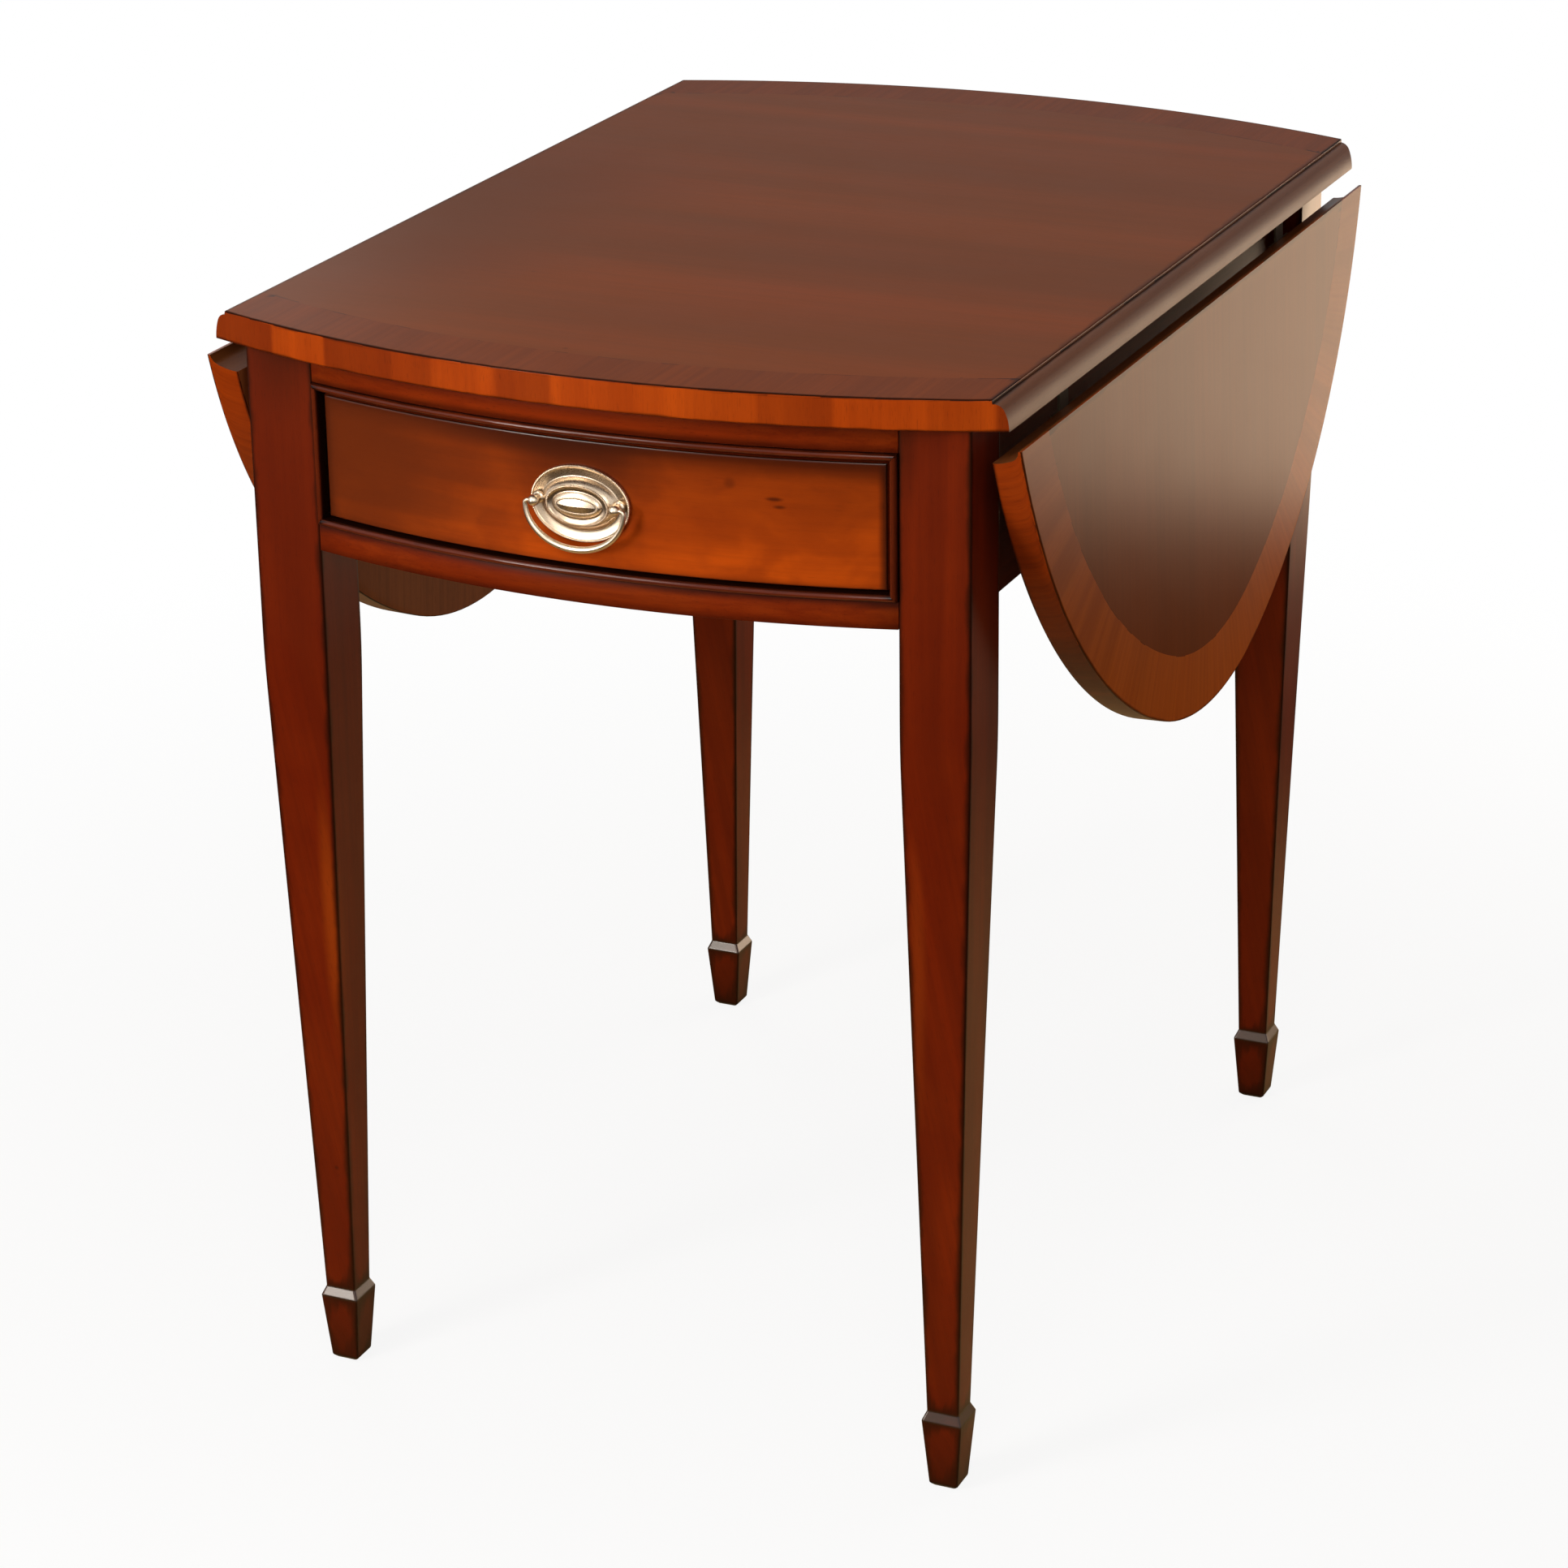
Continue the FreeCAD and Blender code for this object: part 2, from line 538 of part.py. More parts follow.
def case(tenons, screws):
    whole_x = ("-case_x", "case_x")
    front_y = ("-rail_reach", "-case_y")
    for name, z in (("front_top_rail", ("under_z - top_rail_height", "under_z")),
                    ("front_bottom_rail", ("apron_z", "apron_z + bottom_rail_height"))):
        strip = common(name + "_strip", box(name + "_box", whole_x, front_y, z),
                       bow(name + "_bow", "bow_radius", "rail_shift", -1))
        if name == "front_top_rail":
            strip = cut(name + "_drilled", strip, screws)
        node(with_tenons(name, strip, tenons), name)
    wall = wall_of_bow("back_wall", "bow_radius", "bow_radius - back_rail_thick", "rail_shift", 1)
    back_box = box("back_box", whole_x, ("0", "rail_reach"), ("apron_z", "under_z"))
    node(with_tenons("back_rail", common("back_strip", back_box, wall), tenons), "back_rail")
    for side, sign in SIDES:
        x = mirrored(sign, "side_in", "side_out")
        rail = box(f"side_rail_{side}_board", x, ("-case_y", "case_y"), ("apron_z", "under_z"))
        slot = box(f"support_slot_{side}", x, support_span(sign, "support_gap"),
                   ("support_bottom - support_gap", "under_z"))
        rail = cut(f"side_rail_{side}_slotted", rail, [slot])
        node(with_tenons(f"side_rail_{side}", rail, tenons), f"side_rail_{side}")
    inner = bow("cleat_bow", "bow_radius - back_rail_thick", "rail_shift", 1)
    cleat = box("back_cleat_box", ("-cleat_half", "cleat_half"), ("cleat_back - cleat_depth", "cleat_back"),
                ("under_z - cleat_height", "under_z"))
    node(cut("back_cleat", common("back_cleat_strip", cleat, inner), screws), "back_cleat")
    node(group("top_screws", screws), "top_screws")


def mitred(name, strip, corners):
    """A bead between its mitres, by its outline seen from the front."""
    node(common(name, strip, pad(name + "_mitre", "XZ_Plane", corners, "4 * rail_reach")), name)


def cock_bead():
    """Rounded strips, mitred at the corners, that stand proud all round the drawer opening."""
    nose = "bead_width / 2"
    front = "bow_radius + bead_proud"
    opening = "case_x - bead_width"
    for name, low, outer_z, inner_z in (
            ("bead_top", "open_top", "open_top + bead_width", "open_top"),
            ("bead_bottom", "open_bottom - bead_width", "open_bottom - bead_width", "open_bottom")):
        body = doc.addObject("PartDesign::Body", name + "_sweep")
        bind(body, "Placement.Base.y", "rail_shift")
        section = outline(body, name + "_section", "YZ_Plane", [
            ("-(bow_radius - bead_seat)", low),
            ("-(bow_radius - bead_seat)", f"{low} + bead_width"),
            (f"-({front} - {nose})", f"{low} + bead_width", nose, 1),
            (f"-({front})", f"{low} + {nose}", nose, 1),
            (f"-({front} - {nose})", low)])
        sweep = body.newObject("PartDesign::Revolution", name + "_turn")
        sweep.Profile = section
        sweep.ReferenceAxis = (section, ["V_Axis"])
        bind(sweep, "Angle", "bead_turn")
        sweep.Midplane = True
        mitred(name, body, [("-case_x", outer_z), ("case_x", outer_z), (opening, inner_z),
                            (f"-({opening})", inner_z)])
    for side, sign in SIDES:
        name = f"bead_{side}"
        face = "sqrt(bow_radius ^ 2 - (case_x - bead_width / 2) ^ 2) - rail_shift"
        inner, outer = signed(sign, opening), signed(sign, "case_x")
        middle = signed(sign, "case_x - bead_width / 2")
        body = pad(name + "_strip", "XY_Plane", [
            (outer, f"-({face} - bead_seat)"),
            (inner, f"-({face} - bead_seat)"),
            (inner, f"-({face} + bead_proud - {nose})", nose, sign),
            (middle, f"-({face} + bead_proud)", nose, sign),
            (outer, f"-({face} + bead_proud - {nose})")],
            "open_top - open_bottom + 2 * bead_width", "open_bottom - bead_width")
        mitred(name, body, [(outer, "open_bottom - bead_width"), (outer, "open_top + bead_width"),
                            (inner, "open_top"), (inner, "open_bottom")])


def drawer_ways():
    """What the drawer runs on, between and under, and what stops it."""
    length = ("-case_y", "case_y")
    for side, sign in SIDES:
        shelf = box(f"runner_shelf_{side}", mirrored(sign, "side_in - runner_width", "side_in"), length,
                    ("apron_z + runner_lift", "runner_top"))
        guide = box(f"runner_guide_{side}", mirrored(sign, "front_half + running_gap", "side_in"), length,
                    ("runner_top", "runner_top + guide_height"))
        node(fuse(f"runner_{side}", [shelf, guide]), f"runner_{side}")
        node(box(f"kicker_{side}", mirrored(sign, "side_in - kicker_width", "side_in"), length,
                 ("kicker_bottom", "kicker_bottom + kicker_thick")), f"kicker_{side}")
    stop_bow = bow("stop_bow", "front_back_bow - running_gap", "rail_shift", -1)
    stops, blocks = [], []
    stop_face = "sqrt((front_back_bow - running_gap) ^ 2 - (stop_x - stop_width / 2) ^ 2) - rail_shift"
    for side, sign in SIDES:
        stop_span = mirrored(sign, "stop_x - stop_width / 2", "stop_x + stop_width / 2")
        block = box(f"stop_block_{side}", stop_span, (f"-({stop_face})", f"-({stop_face}) + stop_depth"),
                    ("apron_z + bottom_rail_height", "apron_z + bottom_rail_height + stop_height"))
        stops.append(common(f"drawer_stop_{side}", block, stop_bow))
        for end, facing in ENDS:
            y = ("case_y - block_side", "case_y") if facing > 0 else ("-case_y", "-case_y + block_side")
            x = mirrored(sign, "side_in - block_side", "side_in")
            z = ("runner_top + guide_height", "kicker_bottom")
            blocks.append(box(f"glue_block_{end}_{side}", x, y, z))
    node(group("drawer_stops", stops), "drawer_stops")
    node(group("glue_blocks", blocks), "glue_blocks")


# Leaf supports

def support_span(sign, play):
    """Where a support lies front to back, widened by some play."""
    return mirrored(sign, f"support_offset - {play}", f"support_offset + support_width + {play}")


def supports():
    """Flat slides under the top, one for each leaf, each with a stop peg, in one shared keeper."""
    channels = []
    for side, sign in SIDES:
        x = mirrored(sign, "-(peg_x + support_tail)", "side_out + support_nose")
        bar = box(f"support_bar_{side}", x, support_span(sign, "0"), ("support_bottom", "support_top"))
        lane = signed(sign, "support_offset + support_width / 2")
        peg_place = (signed(sign, "-peg_x"), lane, "support_bottom - peg_drop")
        peg = rod(f"support_peg_{side}", "z", peg_place, "peg_radius", "peg_drop + support_thick")
        groove_y = "support_offset" if sign > 0 else "-(support_offset + support_width)"
        groove = rod(f"finger_groove_{side}", "y",
                     (signed(sign, "side_out + support_nose / 2"), groove_y, "support_bottom"),
                     "finger_groove", "support_width")
        node(cut(f"leaf_support_{side}", bar, [peg, groove]), f"leaf_support_{side}")
        node(peg, f"support_peg_{side}")
        channels.append(box(f"keeper_channel_{side}", ("-keeper_half", "keeper_half"),
                            support_span(sign, "support_gap"), ("support_bottom - support_gap", "under_z")))
    reach = "support_offset + support_width + keeper_wall"
    block = box("keeper_block", ("-keeper_half", "keeper_half"), (f"-({reach})", reach),
                ("keeper_bottom", "under_z"))
    node(cut("support_keeper", block, channels), "support_keeper")


# Hinges, drawn with the leaf raised

def hinge_screws(side, sign, end, facing):
    middle = signed(facing, "hinge_y")
    head_z = "under_z - hinge_thick"
    size = ("screw_radius", "screw_head", "screw_length")
    near = f"({middle}) - hinge_width / 2 + screw_inset"
    far = f"({middle}) + hinge_width / 2 - screw_inset"
    top_x = signed(sign, "pivot_x - top_plate_length + screw_inset")
    leaf_far = signed(sign, "pivot_x + leaf_plate_length - screw_inset")
    leaf_near = signed(sign, "edge_x + 2 * screw_inset")
    name = f"screw_{side}_{end}"
    in_top = [countersunk(f"{name}_top_{index}", top_x, y, head_z, *size)
              for index, y in enumerate((near, far))]
    in_leaf = [countersunk(f"{name}_leaf_{index}", leaf_far, y, head_z, *size)
               for index, y in enumerate((near, far))]
    in_leaf.append(countersunk(f"{name}_leaf_2", leaf_near, middle, head_z, *size))
    return in_top, in_leaf


def hinge(side, sign, end, facing, in_top, in_leaf):
    tag = f"{side}_{end}"
    middle = signed(facing, "hinge_y")
    low, high = f"({middle}) - hinge_width / 2", f"({middle}) + hinge_width / 2"
    knuckle_low, knuckle_high = f"({middle}) - knuckle_width / 2", f"({middle}) + knuckle_width / 2"
    plate_z = ("under_z - hinge_thick", "under_z")
    axis = (signed(sign, "pivot_x"), low, "pivot_z")
    pin = rod(f"hinge_pin_{tag}", "y", axis, "hinge_pin", "hinge_width")
    clear = "hinge_barrel + hinge_gap"
    plate = box(f"top_plate_{tag}", mirrored(sign, "pivot_x - top_plate_length", f"pivot_x - ({clear})"),
                (low, high), plate_z)
    ears = [plate]
    for index, (start, stop) in enumerate(((low, f"{knuckle_low} - hinge_gap"),
                                           (f"{knuckle_high} + hinge_gap", high))):
        ears.append(box(f"top_ear_{tag}_{index}", mirrored(sign, f"pivot_x - ({clear})", "pivot_x"),
                        (start, stop), plate_z))
        ears.append(rod(f"top_knuckle_{tag}_{index}", "y", (axis[0], start, "pivot_z"), "hinge_barrel",
                        f"({stop}) - ({start})"))
    node(cut(f"hinge_top_{tag}", fuse(f"hinge_top_{tag}_solid", ears), [pin] + in_top), f"hinge_top_{tag}")
    node(pin, f"hinge_pin_{tag}")
    strap_x = mirrored(sign, "edge_x + rule_gap + hinge_gap", "pivot_x + leaf_plate_length")
    strap = box(f"leaf_strap_{tag}", strap_x, (low, high), plate_z)
    neck = box(f"leaf_neck_{tag}", mirrored(sign, "pivot_x", "edge_x + rule_gap + 2 * hinge_gap"),
               (knuckle_low, knuckle_high), ("under_z - hinge_thick", "under_z - hinge_gap"))
    start = (axis[0], knuckle_low, "pivot_z")
    barrel = rod(f"leaf_knuckle_{tag}", "y", start, "hinge_barrel", "knuckle_width")
    bore = rod(f"leaf_bore_{tag}", "y", start, "hinge_pin + pin_clearance", "knuckle_width")
    solid = fuse(f"hinge_leaf_{tag}_solid", [strap, neck, barrel])
    node(hang(cut(f"hinge_leaf_{tag}", solid, [bore] + in_leaf), sign), f"hinge_leaf_{tag}")


# Top and leaves

def ovolo_points(sign, play):
    """The two-arc ovolo from its step down to its foot, moved out by some play."""
    nose, body = f"(ovolo_nose + {play})", f"(ovolo_body + {play})"
    meet = (signed(sign, f"half_top + {nose} * ovolo_lean"), f"under_z + ovolo_rise + {nose} * ovolo_lift")
    foot = (signed(sign, f"edge_x + {play}"), "under_z")
    return nose, body, meet, foot


def top_board(in_top, screws):
    surface, step = "table_height", "table_height - ovolo_fillet"
    nose, body, meet, foot = ovolo_points(1, "0")
    left_meet, left_foot = ovolo_points(-1, "0")[2:]
    corners = [("-half_top", surface), ("-half_top", step, nose, 1), (*left_meet, body, 1), left_foot,
               (*foot, body, 1), (*meet, nose, 1), ("half_top", step), ("half_top", surface)]
    board = pad("top_section", "XZ_Plane", corners, "2 * top_reach")
    for end, facing in ENDS:
        board = common(f"top_bowed_{end}", board, bow(f"top_bow_{end}", "bow_radius", "top_shift", facing))
    bands = []
    for end, facing in ENDS:
        strip = box(f"crossband_strip_{end}", ("-half_top", "half_top"), mirrored(facing, "0", "top_reach"),
                    ("table_height - band_thick", "table_height"))
        wall = wall_of_bow(f"crossband_wall_{end}", "bow_radius", "bow_radius - band_width", "top_shift",
                           facing)
        bands.append(node(common(f"crossband_{end}", strip, wall), f"crossband_{end}"))
    node(cut("top_board", board, bands + in_top + screws), "top_board")


def leaf(side, sign, in_leaf):
    """Coved along the rule joint, half oval outside, with a crossband let into its face."""
    nose, body, meet, foot = ovolo_points(sign, "rule_gap")
    lip, out = signed(sign, "lip_x"), signed(sign, "lip_x + leaf_width + leaf_end_radius")
    section = pad(f"leaf_section_{side}", "XZ_Plane", [
        (lip, "table_height"), (lip, "cove_top", nose, -sign), (*meet, body, -sign), foot, (out, "under_z"),
        (out, "table_height")], "2 * leaf_half")

    def half_oval(name, inset, end, thick, lift):
        side_arc, end_arc = f"(leaf_side_radius - {inset})", f"(leaf_end_radius - {inset})"
        join_x = signed(sign, f"lip_x + leaf_near + {end_arc} * join_x")
        join_y = f"{end_arc} * join_y"
        return pad(name, "XY_Plane", [
            (lip, f"-({end})", side_arc, sign), (join_x, f"-({join_y})", end_arc, sign),
            (join_x, join_y, side_arc, sign), (lip, end)], thick, lift)

    blank = common(f"leaf_blank_{side}", section,
                   half_oval(f"leaf_outline_{side}", "0", "leaf_half", "top_thickness", "under_z"))
    level = "table_height - band_thick"
    face = half_oval(f"band_outline_{side}", "0", "leaf_half", "band_thick", level)
    field = half_oval(f"field_outline_{side}", "band_width", "band_end", "band_thick", level)
    band = cut(f"leaf_crossband_{side}", face, [field])
    node(hang(cut(f"leaf_{side}", blank, [doc.copyObject(band, False)] + in_leaf), sign), f"leaf_{side}")
    node(hang(band, sign), f"leaf_crossband_{side}")
    node(hang(group(f"leaf_screws_{side}", in_leaf), sign), f"leaf_screws_{side}")


# Drawer

TAILS = 3


def dovetails(name, sign, low, high, root, tip):
    """The tails at one end of a drawer side, evenly spread over a height, each flared from root to tip."""
    pitch = f"(({high}) - ({low})) / {TAILS}"
    wide = f"({pitch} - tail_pin) / 2"
    narrow = f"({wide} - tail_flare)"
    inner_x = mirrored(sign, "front_half - drawer_side_thick", "front_half")[0]
    tails = []
    for index in range(TAILS):
        middle = f"({low}) + {pitch} * {index + 0.5}"
        tails.append(pad(f"{name}_{index}", "YZ_Plane", [
            (root, f"{middle} - {narrow}"), (tip, f"{middle} - {wide}"), (tip, f"{middle} + {wide}"),
            (root, f"{middle} + {narrow}")], "drawer_side_thick", inner_x))
    return tails


def drawer(posts):
    """Bowed front, sides with lapped dovetails in front and through dovetails behind, back and bottom."""
    panel_half = "front_half - drawer_side_thick + drawer_groove"
    panel_box = box("drawer_panel_box", (f"-({panel_half})", panel_half), ("-rail_reach", "drawer_tail"),
                    ("panel_bottom", "panel_top"))
    panel_bow = bow("panel_bow", "front_back_bow + drawer_groove", "rail_shift", -1)
    panel = node(common("drawer_bottom", panel_box, panel_bow), "drawer_bottom")
    joint_y = "-(sqrt(front_back_bow ^ 2 - front_half ^ 2) - rail_shift)"
    back_y = ("drawer_tail - drawer_side_thick", "drawer_tail")
    back_z = ("panel_top", "side_top - drawer_back_drop")
    front_tails, back_tails = {}, {}
    for side, sign in SIDES:
        front_tails[side] = dovetails(f"front_tail_{side}", sign, "front_bottom", "side_top", joint_y,
                                      f"{joint_y} - tail_length")
        back_tails[side] = dovetails(f"back_tail_{side}", sign, *back_z, *back_y)
    back = cut("drawer_back", box("drawer_back_board", ("-front_half", "front_half"), back_y, back_z),
               back_tails["left"] + back_tails["right"])
    node(back, "drawer_back")
    front = box("drawer_front_box", ("-front_half", "front_half"), ("-rail_reach", "0"),
                ("front_bottom", "front_top"))
    wall = wall_of_bow("drawer_wall", "front_bow", "front_back_bow", "rail_shift", -1)
    grooved = cut("drawer_front_grooved", common("drawer_front_blank", front, wall), [panel] + posts)
    node(cut("drawer_front", grooved, front_tails["left"] + front_tails["right"]), "drawer_front")
    inner = bow("drawer_side_bow", "front_back_bow", "rail_shift", -1)
    for side, sign in SIDES:
        name = f"drawer_side_{side}"
        board = box(f"drawer_board_{side}", mirrored(sign, "front_half - drawer_side_thick", "front_half"),
                    ("-rail_reach", "drawer_tail"), ("side_bottom", "side_top"))
        tailed = fuse(f"{name}_tailed", [common(f"{name}_blank", board, inner)] + front_tails[side])
        node(cut(name, cut(f"{name}_grooved", tailed, [panel]), [back]), name)


# Pull

def oval(name, width, height, rise):
    """An upright oval, a rise in front of the middle of the drawer face."""
    ring = doc.addObject("Part::Ellipse", name)
    bind(ring, "MajorRadius", f"({width}) / 2")
    bind(ring, "MinorRadius", f"({height}) / 2")
    ring.Placement.Rotation = FreeCAD.Rotation(Vector(1, 0, 0), 90)
    bind(ring, "Placement.Base.y", f"-(face_y + ({rise}))")
    bind(ring, "Placement.Base.z", "plate_z")
    return ring


def pull_posts():
    posts, nuts = [], []
    for side, sign in SIDES:
        x = signed(sign, "post_spacing / 2")
        ball = doc.addObject("Part::Sphere", f"post_ball_{side}")
        bind(ball, "Radius", "post_ball")
        for letter, text in zip("xyz", (x, "-bail_y", "post_z")):
            bind(ball, "Placement.Base." + letter, text)
        neck = rod(f"post_neck_{side}", "y", (x, "-bail_y", "post_z"), "post_collar", "post_standoff")
        seat = rod(f"post_seat_{side}", "y", (x, "-(face_y + post_seat_rise)", "post_z"), "post_seat",
                   "post_seat_rise")
        shank = rod(f"post_shank_{side}", "y", (x, "-bail_y", "post_z"), "post_shank",
                    "bail_y - nut_y + nut_thick + post_tip")
        start = f"({x}) - bail_reach" if sign > 0 else f"({x}) - 2 * post_ball"
        eye = rod(f"post_eye_{side}", "x", (start, "-bail_y", "post_z"), "bail_radius + bail_clearance",
                  "bail_reach + 2 * post_ball")
        posts.append(cut(f"pull_post_{side}", fuse(f"post_solid_{side}", [ball, neck, seat, shank]), [eye]))
        node(posts[-1], f"pull_post_{side}")
        nut = rod(f"post_nut_{side}", "y", (x, "-nut_y", "post_z"), "nut_radius", "nut_thick")
        nuts.append(cut(f"pull_nut_{side}", nut, [shank]))
    node(group("pull_nuts", nuts), "pull_nuts")
    return posts


# Rings of the backplate from its rim to its lens: step inwards, height above the drawer face
PLATE_RINGS = (
    ("0", "-plate_sag - plate_edge"), ("0", "plate_edge"), ("plate_bevel", "rim_rise"),
    ("rim_width", "rim_rise"), ("rim_slope", "trough_rise"), ("trough_width", "trough_rise"),
    ("dish_width", "ring_rise"), ("ring_width", "ring_rise"), ("ring_slope", "channel_rise"),
    ("channel_width", "channel_rise"), ("eye_slope", "eye_rise"), ("eye_width", "eye_rise"),
    ("lens_moat", "lens_edge"))


def backplate(posts):
    """A stamped oval lofted ring by ring over rim, trough, two mouldings and lens, seated on the bow."""
    rings = []
    inset = "0"
    for index, (step, rise) in enumerate(PLATE_RINGS):
        inset += f" + {step}"
        rings.append(oval(f"plate_ring_{index}", f"plate_width - 2 * ({inset})",
                          f"plate_height - 2 * ({inset})", rise))
    rings.append(oval("plate_ridge", "ridge_length", "ridge_width", "lens_rise"))
    stamped = doc.addObject("Part::Loft", "plate_stamped")
    stamped.Sections = rings
    stamped.Solid = True
    stamped.Ruled = True
    seated = cut("plate_seated", stamped, [bow("plate_seat", "front_bow", "rail_shift", -1)])
    node(cut("pull_backplate", seated, posts), "pull_backplate")


def bail():
    """A round bar: straight ends in the posts, bent down and swelling round one oval sweep to its belly."""
    half, shoulder = number("bail_half"), number("bail_shoulder")
    side, bottom = number("bail_side"), number("bail_bottom")
    drop, fall = number("bail_drop"), number("bail_fall")
    end_x = number("post_spacing / 2 - bail_reach")
    lean = Vector(half - side, 0, fall - bottom).normalize()
    between = (lean + Vector(1, 0, 0)).normalize()
    corner = Vector(1, 0, 1).normalize()

    def half_route(sign):
        bend = Vector(sign * (half - shoulder), 0, -shoulder)
        flank = Vector(sign * (half - side), 0, -shoulder)
        join = Vector(sign * lean.x * bottom, 0, bottom - drop + lean.z * bottom)
        return [
            Part.LineSegment(Vector(sign * end_x, 0, 0), Vector(sign * (half - shoulder), 0, 0)),
            Part.Arc(Vector(sign * (half - shoulder), 0, 0),
                     bend + Vector(sign * corner.x, 0, corner.z) * shoulder,
                     Vector(sign * half, 0, -shoulder)),
            Part.Arc(Vector(sign * half, 0, -shoulder),
                     flank + Vector(sign * between.x, 0, between.z) * side, join)], join

    centre, lowest = Vector(0, 0, bottom - drop), Vector(0, 0, -drop)
    right, right_join = half_route(1)
    left, left_join = half_route(-1)
    curves = left + right
    for join in (left_join, right_join):
        middle = (join - centre + lowest - centre).normalize()
        curves.append(Part.Arc(join, centre + middle * bottom, lowest))
    path = Part.Wire(Part.__sortEdges__([curve.toShape() for curve in curves]))
    thin, belly = number("bail_radius"), number("bail_belly")
    along, down = Vector(1, 0, 0), Vector(0, 0, 1)
    rings = [(Vector(-end_x, 0, 0), along, thin), (Vector(-half, 0, -shoulder), down, thin),
             (lowest, along, belly),
             (Vector(half, 0, -shoulder), down, thin), (Vector(end_x, 0, 0), along, thin)]
    circles = [Part.Wire(Part.makeCircle(radius, place, facing)) for place, facing, radius in rings]
    thing = doc.addObject("Part::Feature", "pull_bail")
    thing.Shape = path.makePipeShell(circles, True, False)
    thing.Placement.Base = Vector(0, -number("bail_y"), number("post_z"))
    node(thing, "pull_bail")


def build():
    fill_sheet()
    tenons = rail_tenons()
    screws = screws_for_top()
    in_top, in_leaf = [], {"left": [], "right": []}
    hinges = []
    for side, sign in SIDES:
        for end, facing in ENDS:
            top_part, leaf_part = hinge_screws(side, sign, end, facing)
            in_top += top_part
            in_leaf[side] += leaf_part
            hinges.append((side, sign, end, facing, top_part, leaf_part))
    top_board(in_top, screws)
    node(group("hinge_screws_top", in_top), "hinge_screws_top")
    for side, sign in SIDES:
        leaf(side, sign, in_leaf[side])
        for end, facing in ENDS:
            leg(end, side, tenons)
    for parts in hinges:
        hinge(*parts)
    case(tenons, screws)
    cock_bead()
    drawer_ways()
    supports()
    posts = pull_posts()
    drawer(posts)
    backplate(posts)
    bail()
    doc.recompute()


def check_and_write():
    for thing in doc.Objects:
        if "Invalid" in thing.State or "Error" in thing.State:
            raise RuntimeError(f"{thing.Label} failed: {thing.State}")
    os.makedirs("parts", exist_ok=True)
    for thing in NODES:
        if thing.Shape.isNull() or not thing.Shape.isValid():
            raise RuntimeError(f"{thing.Label} has no valid shape")
        thing.Shape.exportStep(f"parts/{thing.Label}.step")
        print(f"{thing.Label}: {len(thing.Shape.Solids)} solid(s), {thing.Shape.Volume:.0f} mm3")


build()
check_and_write()
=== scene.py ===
import math

import bmesh
import bpy
import numpy as np
from mathutils import Matrix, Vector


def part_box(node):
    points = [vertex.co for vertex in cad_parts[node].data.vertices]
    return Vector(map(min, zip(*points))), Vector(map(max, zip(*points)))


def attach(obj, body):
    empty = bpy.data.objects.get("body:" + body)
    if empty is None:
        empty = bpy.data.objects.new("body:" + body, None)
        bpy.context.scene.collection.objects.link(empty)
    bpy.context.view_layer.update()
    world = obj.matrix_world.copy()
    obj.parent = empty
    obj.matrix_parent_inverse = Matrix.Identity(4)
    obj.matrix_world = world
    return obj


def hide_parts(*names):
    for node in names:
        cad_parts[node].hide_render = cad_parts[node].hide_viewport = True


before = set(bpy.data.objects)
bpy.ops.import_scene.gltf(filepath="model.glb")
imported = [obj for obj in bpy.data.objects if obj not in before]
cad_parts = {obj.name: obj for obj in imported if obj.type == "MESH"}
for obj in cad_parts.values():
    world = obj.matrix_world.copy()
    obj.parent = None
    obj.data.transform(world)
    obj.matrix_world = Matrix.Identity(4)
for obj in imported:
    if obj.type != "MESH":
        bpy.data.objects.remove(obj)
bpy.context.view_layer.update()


def corners_of(node):
    """Lowest and highest corner of a node's box, as arrays in metres."""
    low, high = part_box(node)
    return np.array(low), np.array(high)


# Corners from the frame's boxes, in metres, then sizes that the boxes don't show and what follows from both
top_low, top_high = corners_of("top_board")
band_low, band_high = corners_of("crossband_front")
rail_low, rail_high = corners_of("front_top_rail")
base_low, base_high = corners_of("front_bottom_rail")
front_low, front_high = corners_of("drawer_front")
plate_low, plate_high = corners_of("pull_backplate")
pin_low, pin_high = corners_of("hinge_pin_right_front")
bail_low, bail_high = corners_of("pull_bail")
bead_low, bead_high = corners_of("bead_top")
sill_low = corners_of("bead_bottom")[0]
leaf_high = corners_of("leaf_right")[1]

BOW_RADIUS = 0.690
BAND_WIDTH = 0.041
RULE_GAP = 0.0006
STEP_HEIGHT = 0.0025
NOSE_RADIUS = 0.007
ARRIS = 0.0007
FAR_FROM_EDGE = 0.1
JOIN_DISTANCE = 2e-6
SHARP_ANGLE = 32
QUARTER = math.pi / 2
FULL_TURN = 2 * math.pi

half_top = band_high[0]
edge_x = top_high[0]
top_z = top_high[2]
under_z = top_low[2]
core_z = band_low[2]
top_shift = BOW_RADIUS - top_high[1]
rail_shift = BOW_RADIUS + rail_low[1]

LEAF_WIDTH = 0.259
LEAF_SIDE_FLAT = 0.0707
LEAF_END_ROUND = 0.0833
LEAF_HANG = math.radians(88)
leaf_half = leaf_high[1]
lip_x = half_top + RULE_GAP
pivot_x = (pin_low[0] + pin_high[0]) / 2
pivot_z = (pin_low[2] + pin_high[2]) / 2

ANKLE_HALF = 0.0105
ANKLE_Z = 0.0535
SPADE_HALF = 0.01315
SPADE_Z = 0.0475
TOE_HALF = 0.0095
TOE_ROUND = 0.0025
TAPER_Z = 0.492
LEG_ARRIS = 0.0012


def reach(x, depth, shift):
    """Half length of a bowed board at x: an arc of BOW_RADIUS less the depth, centred a shift behind."""
    return np.sqrt((BOW_RADIUS - depth) ** 2 - x ** 2) - shift


